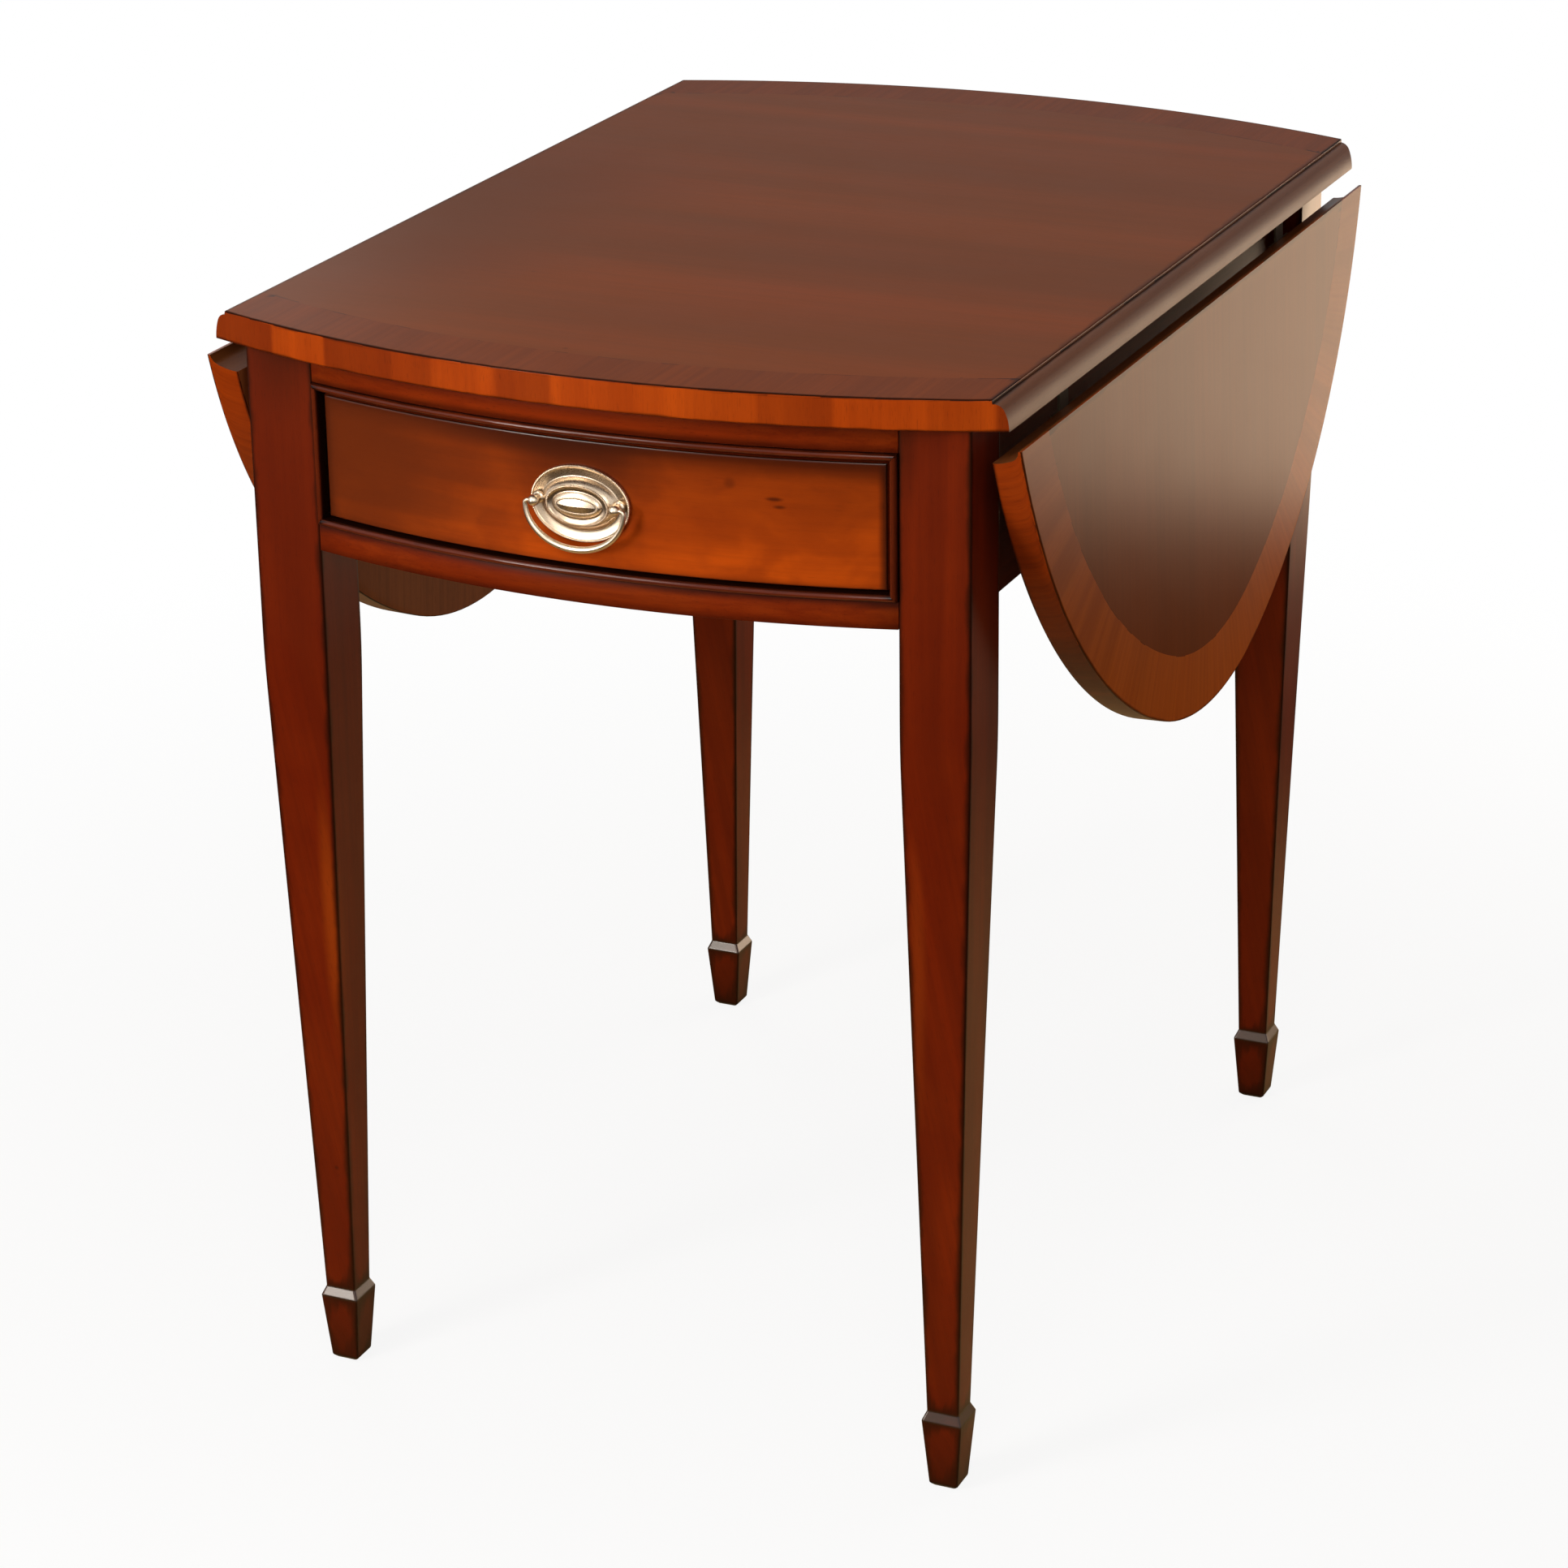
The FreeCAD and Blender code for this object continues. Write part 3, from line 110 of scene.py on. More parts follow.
def eased(distance, radius):
    """How far a surface falls back at a distance from its arris: a quarter circle of the given radius."""
    inner = np.clip(radius - distance, 0, radius)
    return radius - np.sqrt(radius ** 2 - inner ** 2)


def graded(low, high, count, fine):
    """Places from low to high, even in between, with close lines next to both ends at the fine distances."""
    fine = np.asarray(fine)
    even = np.linspace(low + fine[-1], high - fine[-1], count)
    return np.concatenate([low + fine[:-1], even, high - fine[-2::-1]])


def run_along(points):
    """Length gone along rows of points, from the first row on."""
    return np.cumsum(np.linalg.norm(np.diff(points, axis=0, prepend=points[:1]), axis=-1), 0)


def rounded_run(corners, radii, longest):
    """A run through corners, each corner replaced by a parabola that starts and ends its radius away.

    One more point at twice the radius on either side keeps the flats flat, and stretches longer than
    the longest step are divided evenly.
    """
    corners = np.asarray(corners, float)
    points = [corners[:1]]
    turn = np.linspace(0, 1, 5)[:, None]
    for before, corner, after, radius in zip(corners, corners[1:], corners[2:], radii):
        back = (before - corner) / np.linalg.norm(before - corner)
        ahead = (after - corner) / np.linalg.norm(after - corner)
        bend = corner + radius * ((1 - turn) ** 2 * back + turn ** 2 * ahead)
        points += [corner + 2 * radius * back[None], bend, corner + 2 * radius * ahead[None]]
    run = np.concatenate(points + [corners[-1:]])
    length = run_along(run)
    stops = [np.linspace(a, b, max(2, int((b - a) / longest) + 1))[:-1] for a, b in zip(length, length[1:])]
    stops = np.concatenate(stops + [length[-1:]])
    return np.stack([np.interp(stops, length, run[:, k]) for k in range(run.shape[1])], -1)


# Grids of points become closed meshes
def patch(points, along, across, edge=FAR_FROM_EDGE, finish=0):
    """One grid of points (rows, columns, 3), with grain coordinates and distance to the nearest arris."""
    shape = points.shape[:2]
    grain = np.stack([np.broadcast_to(along, shape), np.broadcast_to(across, shape)], -1)
    return {"points": points, "grain": grain, "edge": np.broadcast_to(edge, shape), "finish": finish}


def xyz(x, y, z):
    """Three arrays that broadcast together, stacked as points."""
    return np.stack(np.broadcast_arrays(x, y, z), -1).astype(float)


def walls(top, bottom, grain, finish):
    """Four strips that join the borders of two grids of one size; the grain runs up or along each strip."""
    strips = []
    for border in (np.s_[0], np.s_[-1], np.s_[:, 0], np.s_[:, -1]):
        rim = np.stack([bottom[border], top[border]])
        run = run_along(rim[1])[None]
        height = np.linalg.norm(rim[1] - rim[0], axis=-1)
        rise = np.stack([np.zeros_like(height), height])
        pair = (rise, run) if grain == "up" else (run, rise)
        strips.append(patch(rim, *pair, edge=np.zeros_like(rise), finish=finish))
    return strips


def cap(ring):
    """A fan from a closed ring of points to its middle."""
    middle = np.broadcast_to(ring[:-1].mean(0), ring.shape)
    spread = ring - middle
    pair = np.stack([ring, middle])
    flat = np.stack([spread, np.zeros_like(spread)])
    return patch(pair, flat[..., 0], flat[..., 2] + flat[..., 1], 0.0)


def new_object(name, data):
    """An object of the scene that shows a mesh, a lamp or a camera."""
    made = bpy.data.objects.new(name, data)
    bpy.context.scene.collection.objects.link(made)
    return made


def make_piece(name, patches, finishes, sharp=SHARP_ANGLE):
    """Joins patches into one mesh: shared places become one point and all faces are turned outwards."""
    counts = np.cumsum([0] + [p["edge"].size for p in patches])
    cells = []
    for start, each in zip(counts, patches):
        index = start + np.arange(each["edge"].size).reshape(each["edge"].shape)
        corners = (index[:-1, :-1], index[:-1, 1:], index[1:, 1:], index[1:, :-1])
        cells.append(np.stack(corners, -1).reshape(-1, 4))
    marks = np.concatenate([np.full(len(c), p["finish"]) for c, p in zip(cells, patches)])
    cells = np.concatenate(cells)
    points = np.concatenate([p["points"].reshape(-1, 3) for p in patches])
    grain = np.concatenate([p["grain"].reshape(-1, 2) for p in patches])
    edge = np.concatenate([p["edge"].ravel() for p in patches])
    mesh = bpy.data.meshes.new(name)
    mesh.from_pydata(points.tolist(), [], cells.tolist())
    mesh.uv_layers.new(name="grain").data.foreach_set("uv", grain[cells.ravel()].ravel().astype(np.float32))
    mesh.attributes.new("edge", "FLOAT", "POINT").data.foreach_set("value", edge.astype(np.float32))
    mesh.polygons.foreach_set("material_index", marks.astype(np.int32))
    mesh.polygons.foreach_set("use_smooth", np.ones(len(cells), bool))
    joined = bmesh.new()
    joined.from_mesh(mesh)
    bmesh.ops.remove_doubles(joined, verts=joined.verts, dist=JOIN_DISTANCE)
    bmesh.ops.recalc_face_normals(joined, faces=joined.faces)
    joined.to_mesh(mesh)
    joined.free()
    mesh.set_sharp_from_angle(angle=math.radians(sharp))
    for finish in finishes:
        mesh.materials.append(finish)
    return new_object(name, mesh)


def dress(made, body, slot, *nodes):
    """The piece rides on its body and stands for its nodes, which are hidden; the slot is not used."""
    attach(made, body)
    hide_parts(*nodes)


# Shader helpers
def tone(red, green, blue):
    """A colour given as 0 to 255 on a screen, as the linear value that a shader takes."""
    screen = np.array([red, green, blue]) / 255
    linear = np.where(screen <= 0.04045, screen / 12.92, ((screen + 0.055) / 1.055) ** 2.4)
    return (*linear.tolist(), 1.0)


def fill(tree, node, inputs):
    """Each input of a node is joined to another node's socket or set to a plain value."""
    for key, value in inputs.items():
        if isinstance(value, bpy.types.NodeSocket):
            tree.links.new(value, node.inputs[key])
        else:
            node.inputs[key].default_value = value


def add(tree, kind, inputs=None, **settings):
    """A new node with its settings and its inputs."""
    made = tree.nodes.new("ShaderNode" + kind)
    for key, value in settings.items():
        setattr(made, key, value)
    fill(tree, made, inputs or {})
    return made


def maths(tree, operation, first, second):
    """The value of one arithmetic step."""
    return add(tree, "Math", {0: first, 1: second}, operation=operation).outputs[0]


def remap(tree, value, low, high, start=0.0, end=1.0, curve="SMOOTHSTEP"):
    """Value between low and high, brought to start and end."""
    inputs = {"Value": value, "From Min": low, "From Max": high, "To Min": start, "To Max": end}
    return add(tree, "MapRange", inputs, interpolation_type=curve).outputs[0]


def tint(tree, share, under, over):
    """Colour over laid on colour under by a share."""
    return add(tree, "Mix", {0: share, 6: under, 7: over}, data_type="RGBA", clamp_factor=True).outputs[2]


def shaded(tree, colour, mask, share, shade):
    """A colour moved to a shade where a mask lies, by a share of the mask."""
    return tint(tree, maths(tree, "MULTIPLY", mask, share), colour, shade)


def vectors(tree, operation, first, second):
    """The vector that one step of arithmetic gives on each axis."""
    return add(tree, "VectorMath", {0: first, 1: second}, operation=operation).outputs[0]


def length_of(tree, vector):
    """The length of a vector."""
    return add(tree, "VectorMath", {0: vector}, operation="LENGTH").outputs["Value"]


def noise(tree, vector, scale, detail=2.0, rough=0.5, distort=0.0):
    """Noise in a space that is stretched by a scale on each axis."""
    inputs = {"Vector": vectors(tree, "MULTIPLY", vector, scale), "Scale": 1.0, "Detail": detail,
              "Roughness": rough, "Distortion": distort}
    return add(tree, "TexNoise", inputs).outputs["Fac"]


VECTOR_SOCKETS = ("Place", "Grain", "Breadth")


def new_group(name, inputs, outputs):
    """A shader node group whose sockets are vectors or numbers, with its way in and its way out."""
    group = bpy.data.node_groups.new(name, "ShaderNodeTree")
    for way, labels in (("INPUT", inputs), ("OUTPUT", outputs)):
        for label in labels:
            kind = "NodeSocketVector" if label in VECTOR_SOCKETS else "NodeSocketFloat"
            group.interface.new_socket(name=label, in_out=way, socket_type=kind)
    return group, group.nodes.new("NodeGroupInput").outputs, group.nodes.new("NodeGroupOutput")


def use_group(tree, group, inputs):
    """A group placed in a material; returns its outputs."""
    return add(tree, "Group", inputs, node_tree=group).outputs


def timber_figure():
    """Figure of a board whose grain runs along X: long fibres, short pores, broad ribbons and soft clouds.
    Ribbons and clouds grow with the breadth."""
    group, given, out = new_group("timber_figure", ("Grain", "Breadth"),
                                  ("Fibre", "Pores", "Ribbon", "Cloud"))
    grain = given["Grain"]
    broad = vectors(group, "DIVIDE", grain, given["Breadth"])
    fibre = remap(group, noise(group, grain, (7, 240, 240), 4, 0.62, 0.3), 0.36, 0.68)
    pores = remap(group, noise(group, grain, (120, 2300, 2300), 1), 0.61, 0.74)
    ribbon = remap(group, noise(group, broad, (1.9, 36, 36), 2, 0.5, 0.5), 0.34, 0.66)
    cloud = remap(group, noise(group, broad, (11, 15, 15), 3, 0.55, 0.4), 0.33, 0.67)
    fill(group, out, {"Fibre": fibre, "Pores": pores, "Ribbon": ribbon, "Cloud": cloud})
    return group


def glazed_and_shaded_edge():
    """Dark glaze along arrises, and painted shade beside the cock bead's recesses: full at the edge, gone at
    a width that wanders by a share of itself.
    """
    group, given, out = new_group("glazed_and_shaded_edge", ("Place", "Edge", "Width", "Ragged"), ("Glaze_and_shade",))
    wander = remap(group, noise(group, given["Place"], (38, 38, 38), 2, 0.5), 0.25, 0.75, -1.0, 1.0)
    ragged = maths(group, "ADD", maths(group, "MULTIPLY", wander, given["Ragged"]), 1.0)
    width = maths(group, "MULTIPLY", given["Width"], ragged)
    share = maths(group, "DIVIDE", given["Edge"], width)
    fill(group, out, {"Glaze_and_shade": remap(group, share, 0.0, 1.0, 1.0, 0.0)})
    return group


def handled_surface():
    """Marks of use: a few small dark specks, and a soft haze that comes and goes."""
    group, given, out = new_group("handled_surface", ("Place",), ("Specks", "Haze"))
    spots = add(group, "TexVoronoi", {"Vector": given["Place"], "Scale": 46.0})
    near = remap(group, spots.outputs["Distance"], 0.02, 0.11, 1.0, 0.0)
    chosen = remap(group, noise(group, given["Place"], (31, 31, 31), 1), 0.64, 0.72)
    haze = remap(group, noise(group, given["Place"], (23, 29, 26), 4, 0.65), 0.3, 0.7)
    fill(group, out, {"Specks": maths(group, "MULTIPLY", near, chosen), "Haze": haze})
    return group


def lacquer_skin():
    """Satin lacquer: its roughness drifts a little, and the pores and a faint ripple show in its height."""
    group, given, out = new_group("lacquer_skin", ("Place", "Pores", "Haze", "Gloss"),
                                  ("Roughness", "Height"))
    ripple = noise(group, given["Place"], (420, 420, 420), 2)
    drift = remap(group, given["Haze"], 0.0, 1.0, -0.008, 0.012, "LINEAR")
    sunk = maths(group, "MULTIPLY", given["Pores"], -0.6)
    fill(group, out, {"Roughness": maths(group, "ADD", given["Gloss"], drift),
                      "Height": maths(group, "ADD", ripple, sunk)})
    return group


def metal_age():
    """Tarnish that gathers in hollows and in soft patches, with fine rubbing marks."""
    group, given, out = new_group("metal_age", ("Place", "Hollow"), ("Tarnish", "Rubbing"))
    blotch = remap(group, noise(group, given["Place"], (190, 190, 190), 2, 0.5), 0.35, 0.75)
    rubbed = noise(group, given["Place"], (2400, 700, 2400), 3, 0.6)
    deep = maths(group, "MULTIPLY", given["Hollow"], remap(group, blotch, 0.0, 1.0, 0.7, 1.0))
    fill(group, out, {"Tarnish": maths(group, "MAXIMUM", deep, maths(group, "MULTIPLY", blotch, 0.12)),
                      "Rubbing": rubbed})
    return group


FIGURE = timber_figure()
GLAZE_AND_SHADE = glazed_and_shaded_edge()
HANDLED = handled_surface()
LACQUER = lacquer_skin()
AGED = metal_age()


def blank(name):
    """A new material with its Principled shader."""
    finish = bpy.data.materials.new(name)
    finish.use_nodes = True
    return finish, finish.node_tree, finish.node_tree.nodes["Principled BSDF"]


def cleared(owner):
    """The emptied node tree of a material or of the world."""
    owner.use_nodes = True
    owner.node_tree.nodes.clear()
    return owner.node_tree


def spreads_from(tree, place, middle, spread):
    """How far a place lies from a middle, counted in spreads along each axis."""
    return length_of(tree, vectors(tree, "DIVIDE", vectors(tree, "SUBTRACT", place, middle), spread))


PORE_TONE = tone(24, 8, 4)
RIM_TONE = tone(50, 17, 6)
GLAZE_AND_SHADE_TONE = tone(18, 6, 3)
SPECK_TONE = tone(20, 8, 4)
RIM_RAGGED = 0.12
GLAZE_AND_SHADE_RAGGED = 0.4
MARK_FULL = 0.25
MARK_GONE = 1.2
POLISH_FULL = 0.0005
POLISH_GONE = 0.0016
GLEAM_FULL = 0.6
GLEAM_GONE = 1.0
STRIPS_PER_METRE = 24.0
STRIP_BLUR = 0.3
EVEN_HOLLOW = 0.2


def wood(name, body, glow, deep, fibre=0.4, pores=0.35, ribbon=0.3, cloud=0.4, breadth=1.0, gloss=0.33,
         shine=0.05, coat=0.0, glaze=0.2, gleam=None, burnish_and_shade=0.0, burnish_and_shade_width=0.003, rim=0.0,
         rim_width=0.02, pieced=0.0, polish=0.0, specks=0.0, warmth=(1, 1, 1, 1), turn=None, marks=(),
         stray=0.35):
    """Lacquered wood; its colours are given as 0 to 255 on a screen. Clouds and ribbons move the body colour
    to its glow and to its deep tone, fibres and pores draw the grain, and dark tones lie along the arrises:
    a broad rim and a fine burnished line. These are dark glaze, save that the drawer front's rim is also
    painted shade from the cock bead, and the cock bead's fine line is painted shade in its quirks. A turn
    reads a board of the frame by its place, with the grain brought onto X; otherwise the piece's own grain
    map is read. Pieced wood changes tone from one strip across the grain to the next. Each mark is a soft
    patch of another colour: its middle, its spread on each axis, its colour and its share; its rim strays
    with the ribbons. A gleam is such a patch of clear coat, polish is clear coat along the arrises, and
    glaze is its roughness. Warmth tints what the lacquer mirrors. Some marks are painted shade, as said
    where they are listed."""
    finish, tree, shader = blank(name)
    body, glow, deep = (tone(*each) for each in (body, glow, deep))
    place = add(tree, "TexCoord").outputs["Object"]
    edge = add(tree, "Attribute", attribute_name="edge").outputs["Fac"]
    if turn is None:
        grain = add(tree, "UVMap", uv_map="grain").outputs[0]
    else:
        grain = add(tree, "Mapping", {"Vector": place, "Rotation": turn}).outputs[0]
    figure = use_group(tree, FIGURE, {"Grain": grain, "Breadth": (breadth, breadth, breadth)})
    handled = use_group(tree, HANDLED, {"Place": place})
    skin = use_group(tree, LACQUER, {"Place": place, "Pores": figure["Pores"], "Haze": handled["Haze"],
                                     "Gloss": gloss})
    colour = shaded(tree, body, figure["Cloud"], cloud, glow)
    colour = shaded(tree, colour, figure["Ribbon"], ribbon, deep)
    colour = shaded(tree, colour, figure["Fibre"], fibre, deep)
    if pieced:
        across = add(tree, "SeparateXYZ", {0: grain}).outputs[1]
        strips = add(tree, "TexVoronoi", {"W": across, "Scale": STRIPS_PER_METRE, "Smoothness": STRIP_BLUR},
                     voronoi_dimensions="1D", feature="SMOOTH_F1").outputs["Color"]
        bright = remap(tree, add(tree, "SeparateColor", {0: strips}).outputs[0], 0.25, 0.85)
        colour = shaded(tree, colour, bright, pieced, deep)
    for middle, spread, shade, share in marks:
        loose = maths(tree, "ADD", spreads_from(tree, place, middle, spread),
                      maths(tree, "MULTIPLY", figure["Ribbon"], stray))
        colour = tint(tree, remap(tree, loose, MARK_FULL, MARK_GONE, share, 0.0), colour, tone(*shade))
    colour = shaded(tree, colour, figure["Pores"], pores, PORE_TONE)
    # Rim and fine line: dark glaze; the drawer front's rim is also painted shade from the cock bead, the
    # cock bead's fine line painted shade in its quirks
    for share, width, ragged, shade in ((rim, rim_width, RIM_RAGGED, RIM_TONE),
                                        (burnish_and_shade, burnish_and_shade_width, GLAZE_AND_SHADE_RAGGED, GLAZE_AND_SHADE_TONE)):
        if share:
            line = use_group(tree, GLAZE_AND_SHADE, {"Place": place, "Edge": edge, "Width": width, "Ragged": ragged})
            colour = shaded(tree, colour, line["Glaze_and_shade"], share, shade)
    if specks:
        colour = shaded(tree, colour, handled["Specks"], specks, SPECK_TONE)
    if polish:
        coat = remap(tree, edge, POLISH_FULL, POLISH_GONE, polish, coat)
    if gleam:
        middle, spread, share = gleam
        off = spreads_from(tree, place, middle, spread)
        coat = remap(tree, off, GLEAM_FULL, GLEAM_GONE, share, 0.0)
    bump = add(tree, "Bump", {"Height": skin["Height"], "Strength": 0.015, "Distance": 0.0004}).outputs[0]
    fill(tree, shader, {"Base Color": colour, "Roughness": skin["Roughness"], "Normal": bump,
                        "Specular IOR Level": shine, "Specular Tint": warmth, "Coat Weight": coat,
                        "Coat Roughness": glaze})
    return finish


def metal(name, bright, dull, gloss, hollow=True):
    """Aged metal: tarnish from the hollows outwards, and roughness that follows rubbing marks."""
    finish, tree, shader = blank(name)
    place = add(tree, "TexCoord").outputs["Object"]
    depth = add(tree, "Attribute", attribute_name="edge").outputs["Fac"] if hollow else EVEN_HOLLOW
    age = use_group(tree, AGED, {"Place": place, "Hollow": depth})
    colour = tint(tree, age["Tarnish"], tone(*bright), tone(*dull))
    rough = remap(tree, age["Rubbing"], 0.3, 0.7, gloss - 0.03, gloss + 0.05)
    bump = add(tree, "Bump", {"Height": age["Rubbing"], "Strength": 0.01, "Distance": 0.0002}).outputs[0]
    fill(tree, shader, {"Base Color": colour, "Roughness": rough, "Normal": bump, "Metallic": 1.0})
    return finish


# Finishes. Each mark has its middle, its spread, where FREE leaves an axis out, its colour and its share
FREE = 9
LEG_MARKS = (
    ((-0.1985, -0.3215, 0.325), (0.0075, 0.02, 0.105), (150, 60, 10), 0.7),
    ((0.1985, -0.3215, 0.335), (0.0070, 0.02, 0.125), (142, 54, 11), 0.55),
    ((0.2120, -0.3215, 0.120), (0.0100, 0.02, 0.110), (140, 40, 4), 0.4),
    # Painted shade: the left legs darker in their upper part, where less light falls
    ((-0.2120, 0, 0.600), (0.0600, FREE, 0.260), (88, 20, 4), 0.5),
    ((0, 0, 0), (FREE, FREE, 0.062), (62, 14, 3), 0.75),
    # Painted shade: the tops of the front legs darker just under the top's overhang
    ((0.1930, -0.3215, 0.680), (0.0120, 0.02, 0.060), (66, 17, 4), 0.6),
    ((-0.2120, -0.3215, 0.690), (0.0300, 0.02, 0.050), (62, 15, 4), 0.55))
RAIL_MARKS = (
    ((-0.03, rail_low[1], rail_low[2]), (0.160, 0.05, 0.050), (152, 50, 10), 0.45),
    # Painted shade with some dark glaze: the top rail darker just under the top's overhang
    ((0, rail_low[1], rail_high[2]), (FREE, 0.09, 0.013), (70, 22, 6), 0.4),
    ((base_high[0], base_low[1], base_low[2]), (0.050, 0.09, 0.050), (64, 18, 6), 0.6),
    ((base_low[0], base_low[1], base_low[2]), (0.060, 0.09, 0.050), (70, 20, 6), 0.5),
    ((0, base_low[1], base_low[2]), (FREE, 0.09, 0.006), (58, 15, 5), 0.7),
    # Painted shade: dark quirks where the rails meet the cock bead below and above the drawer
    ((0, base_low[1], base_high[2]), (FREE, 0.09, 0.0065), (44, 12, 4), 0.85),
    ((0, rail_low[1], rail_low[2]), (FREE, 0.09, 0.005), (44, 12, 4), 0.7))
SPADE_GLEAM = ((0, 0, (SPADE_Z + ANKLE_Z) / 2), (FREE, FREE, 0.0045), 0.58)
DRAWER_MARKS = (
    ((-0.05, -0.345, 0.668), (0.060, 0.05, 0.024), (88, 36, 13), 0.75),
    # Painted shade: the drawer front darker towards its top, under the cock bead and the rail
    ((0, 0, front_high[2]), (FREE, FREE, 0.062), (106, 39, 9), 0.6),
    ((0, 0, front_high[2]), (FREE, FREE, 0.014), (54, 19, 7), 0.75),
    # Painted shade: the drawer front darker at both ends, beside the cock bead
    ((front_low[0], 0, 0), (0.009, FREE, FREE), (60, 21, 7), 0.8),
    ((front_high[0], 0, 0), (0.005, FREE, FREE), (60, 21, 7), 0.8),
    # Painted shade: the left part of the drawer front darker, where less light falls
    ((-0.16, -0.325, 0.628), (0.150, 0.09, 0.084), (94, 38, 14), 0.88),
    ((0.05, -0.345, 0.618), (0.060, 0.05, 0.018), (120, 40, 8), 0.35),
    ((0.118, -0.335, 0.6410), (0.0060, 0.05, 0.0016), (66, 22, 7), 0.8),
    ((0.121, -0.335, 0.6365), (0.0045, 0.05, 0.0014), (66, 22, 7), 0.7),
    ((0.092, -0.335, 0.6490), (0.0040, 0.05, 0.0040), (88, 30, 8), 0.5),
    ((0.000, -0.345, 0.656), (0.056, 0.05, 0.036), (58, 23, 9), 0.7))
# Painted shade: the top's face darker towards its left end, where less light falls
TOP_PAINTED_SHADE = (((-half_top, -0.08, top_z), (0.170, 0.34, FREE), (106, 52, 15), 0.85),)
# Painted light: the leaf's crossband darker towards the leaf's top, where the sheen makes it blend with the
# field
LEAF_BAND_PAINTED_SHADE = (((0, 0, 0.740), (FREE, FREE, 0.320), (134, 58, 15), 0.95),)
# Painted shade: the leaf's edge banding darker towards its lower end, which faces down away from the light
LEAF_EDGE_PAINTED_SHADE = (((0, 0, 0.400), (FREE, FREE, 0.250), (72, 22, 4), 0.85),)
LEG_WOOD = wood(
    "leg_mahogany", (112, 29, 5), (134, 44, 8), (78, 17, 4), fibre=0.3, ribbon=0.5, cloud=0.4, shine=0.16,
    warmth=(1, 0.72, 0.4, 1), gleam=SPADE_GLEAM, burnish_and_shade=0.9, burnish_and_shade_width=0.0044, specks=0.5,
    marks=LEG_MARKS)
RAIL_WOOD = wood(
    "rail_mahogany", (128, 42, 9), (150, 62, 14), (92, 22, 5), fibre=0.5, turn=(0, 0, 0), marks=RAIL_MARKS)
SIDE_WOOD = wood("side_rail_mahogany", (100, 32, 9), (122, 46, 12), (66, 18, 5), turn=(0, 0, QUARTER))
TOP_FIELD_WOOD = wood(
    "top_field_veneer", (135, 64, 15), (139, 60, 14), (100, 53, 16), fibre=0.15, ribbon=0.55, cloud=0.5,
    breadth=4.0, pores=0.1, shine=0.0092, burnish_and_shade=0.55, burnish_and_shade_width=0.004, specks=0.25, marks=TOP_PAINTED_SHADE)
LEAF_FIELD_WOOD = wood(
    "leaf_field_veneer", (124, 56, 15), (130, 56, 14), (98, 47, 15), fibre=0.18, ribbon=0.35, cloud=0.3,
    breadth=3.0, pores=0.1, gloss=0.24, shine=0.02, burnish_and_shade=0.55, burnish_and_shade_width=0.004, specks=0.4)
BAND_WOOD = wood(
    "crossband_veneer", (126, 57, 16), (136, 63, 17), (100, 45, 12), fibre=0.4, pores=0.12, ribbon=0.3,
    shine=0.0085, burnish_and_shade=0.9, burnish_and_shade_width=0.0025)
LEAF_BAND_WOOD = wood(
    "leaf_crossband_veneer", (194, 91, 23), (203, 101, 27), (154, 67, 17), fibre=0.35, pores=0.15,
    ribbon=0.3, gloss=0.24, shine=0.02, burnish_and_shade=0.8, burnish_and_shade_width=0.002, marks=LEAF_BAND_PAINTED_SHADE)
EDGE_WOOD = wood(
    "edge_banding", (178, 68, 10), (192, 82, 15), (112, 36, 6), fibre=0.18, pieced=0.75, coat=0.1,
    burnish_and_shade=0.9, burnish_and_shade_width=0.002)
LEAF_EDGE_WOOD = wood(
    "leaf_edge_banding", (164, 60, 9), (178, 72, 13), (108, 34, 6), fibre=0.4, pieced=0.4, coat=0.05,
    burnish_and_shade=0.9, burnish_and_shade_width=0.002, marks=LEAF_EDGE_PAINTED_SHADE)
MOULDED_WOOD = wood(
    "moulded_edge", (114, 63, 29), (122, 66, 30), (86, 45, 20), fibre=0.35, burnish_and_shade=0.85,
    burnish_and_shade_width=0.0025, gloss=0.36)
UNDER_WOOD = wood("leaf_underside", (140, 80, 41), (152, 90, 47), (108, 60, 30), gloss=0.5)
# The drawer front's broad rim is dark glaze and painted shade from the cock bead around the set-back front
DRAWER_WOOD = wood(
    "drawer_veneer", (196, 78, 12), (150, 55, 10), (116, 42, 9), fibre=0.2, pores=0.15, ribbon=0.15,
    cloud=0.65, breadth=0.45, rim=0.35, rim_width=0.006, burnish_and_shade=0.6, burnish_and_shade_width=0.0012, polish=0.6,
    specks=0.6, marks=DRAWER_MARKS, stray=0.12)
# The cock bead's dark burnished sides are painted shade in the quirks beside it
BEAD_WOOD = wood(
    "cock_bead", (92, 32, 11), (106, 40, 14), (56, 16, 6), gloss=0.25, shine=0.05, coat=0.34, glaze=0.07,
    burnish_and_shade=0.95, burnish_and_shade_width=0.0026)
SECONDARY_WOOD = wood(
    "secondary_wood", (186, 143, 96), (196, 156, 110), (152, 109, 66), gloss=0.6, turn=(0, 0, QUARTER))
SECONDARY_ACROSS = wood(
    "secondary_wood_across", (182, 139, 92), (194, 152, 106), (148, 105, 64), gloss=0.6, turn=(0, 0, 0))
PULL_BRASS = metal("antique_brass", (214, 193, 168), (98, 70, 46), 0.27)
PLAIN_BRASS = metal("turned_brass", (226, 207, 182), (120, 92, 64), 0.29, hollow=False)
HINGE_STEEL = metal("hinge_steel", (112, 100, 80), (60, 50, 36), 0.42, hollow=False)


# Legs
LEG_EASES = (0.0005, 0.0008, 0.0006, 0.0005, 0.02, 0.0005)
LEG_STEP = 0.018
FLAT_SHARES = np.array([-1, -0.94, -0.82, -0.55, 0, 0.55, 0.82, 0.94, 1])
ARRIS_TURNS = np.radians([22.5, 45, 67.5])
THIN_SHARE = 0.45
GRAIN_APART = 0.7


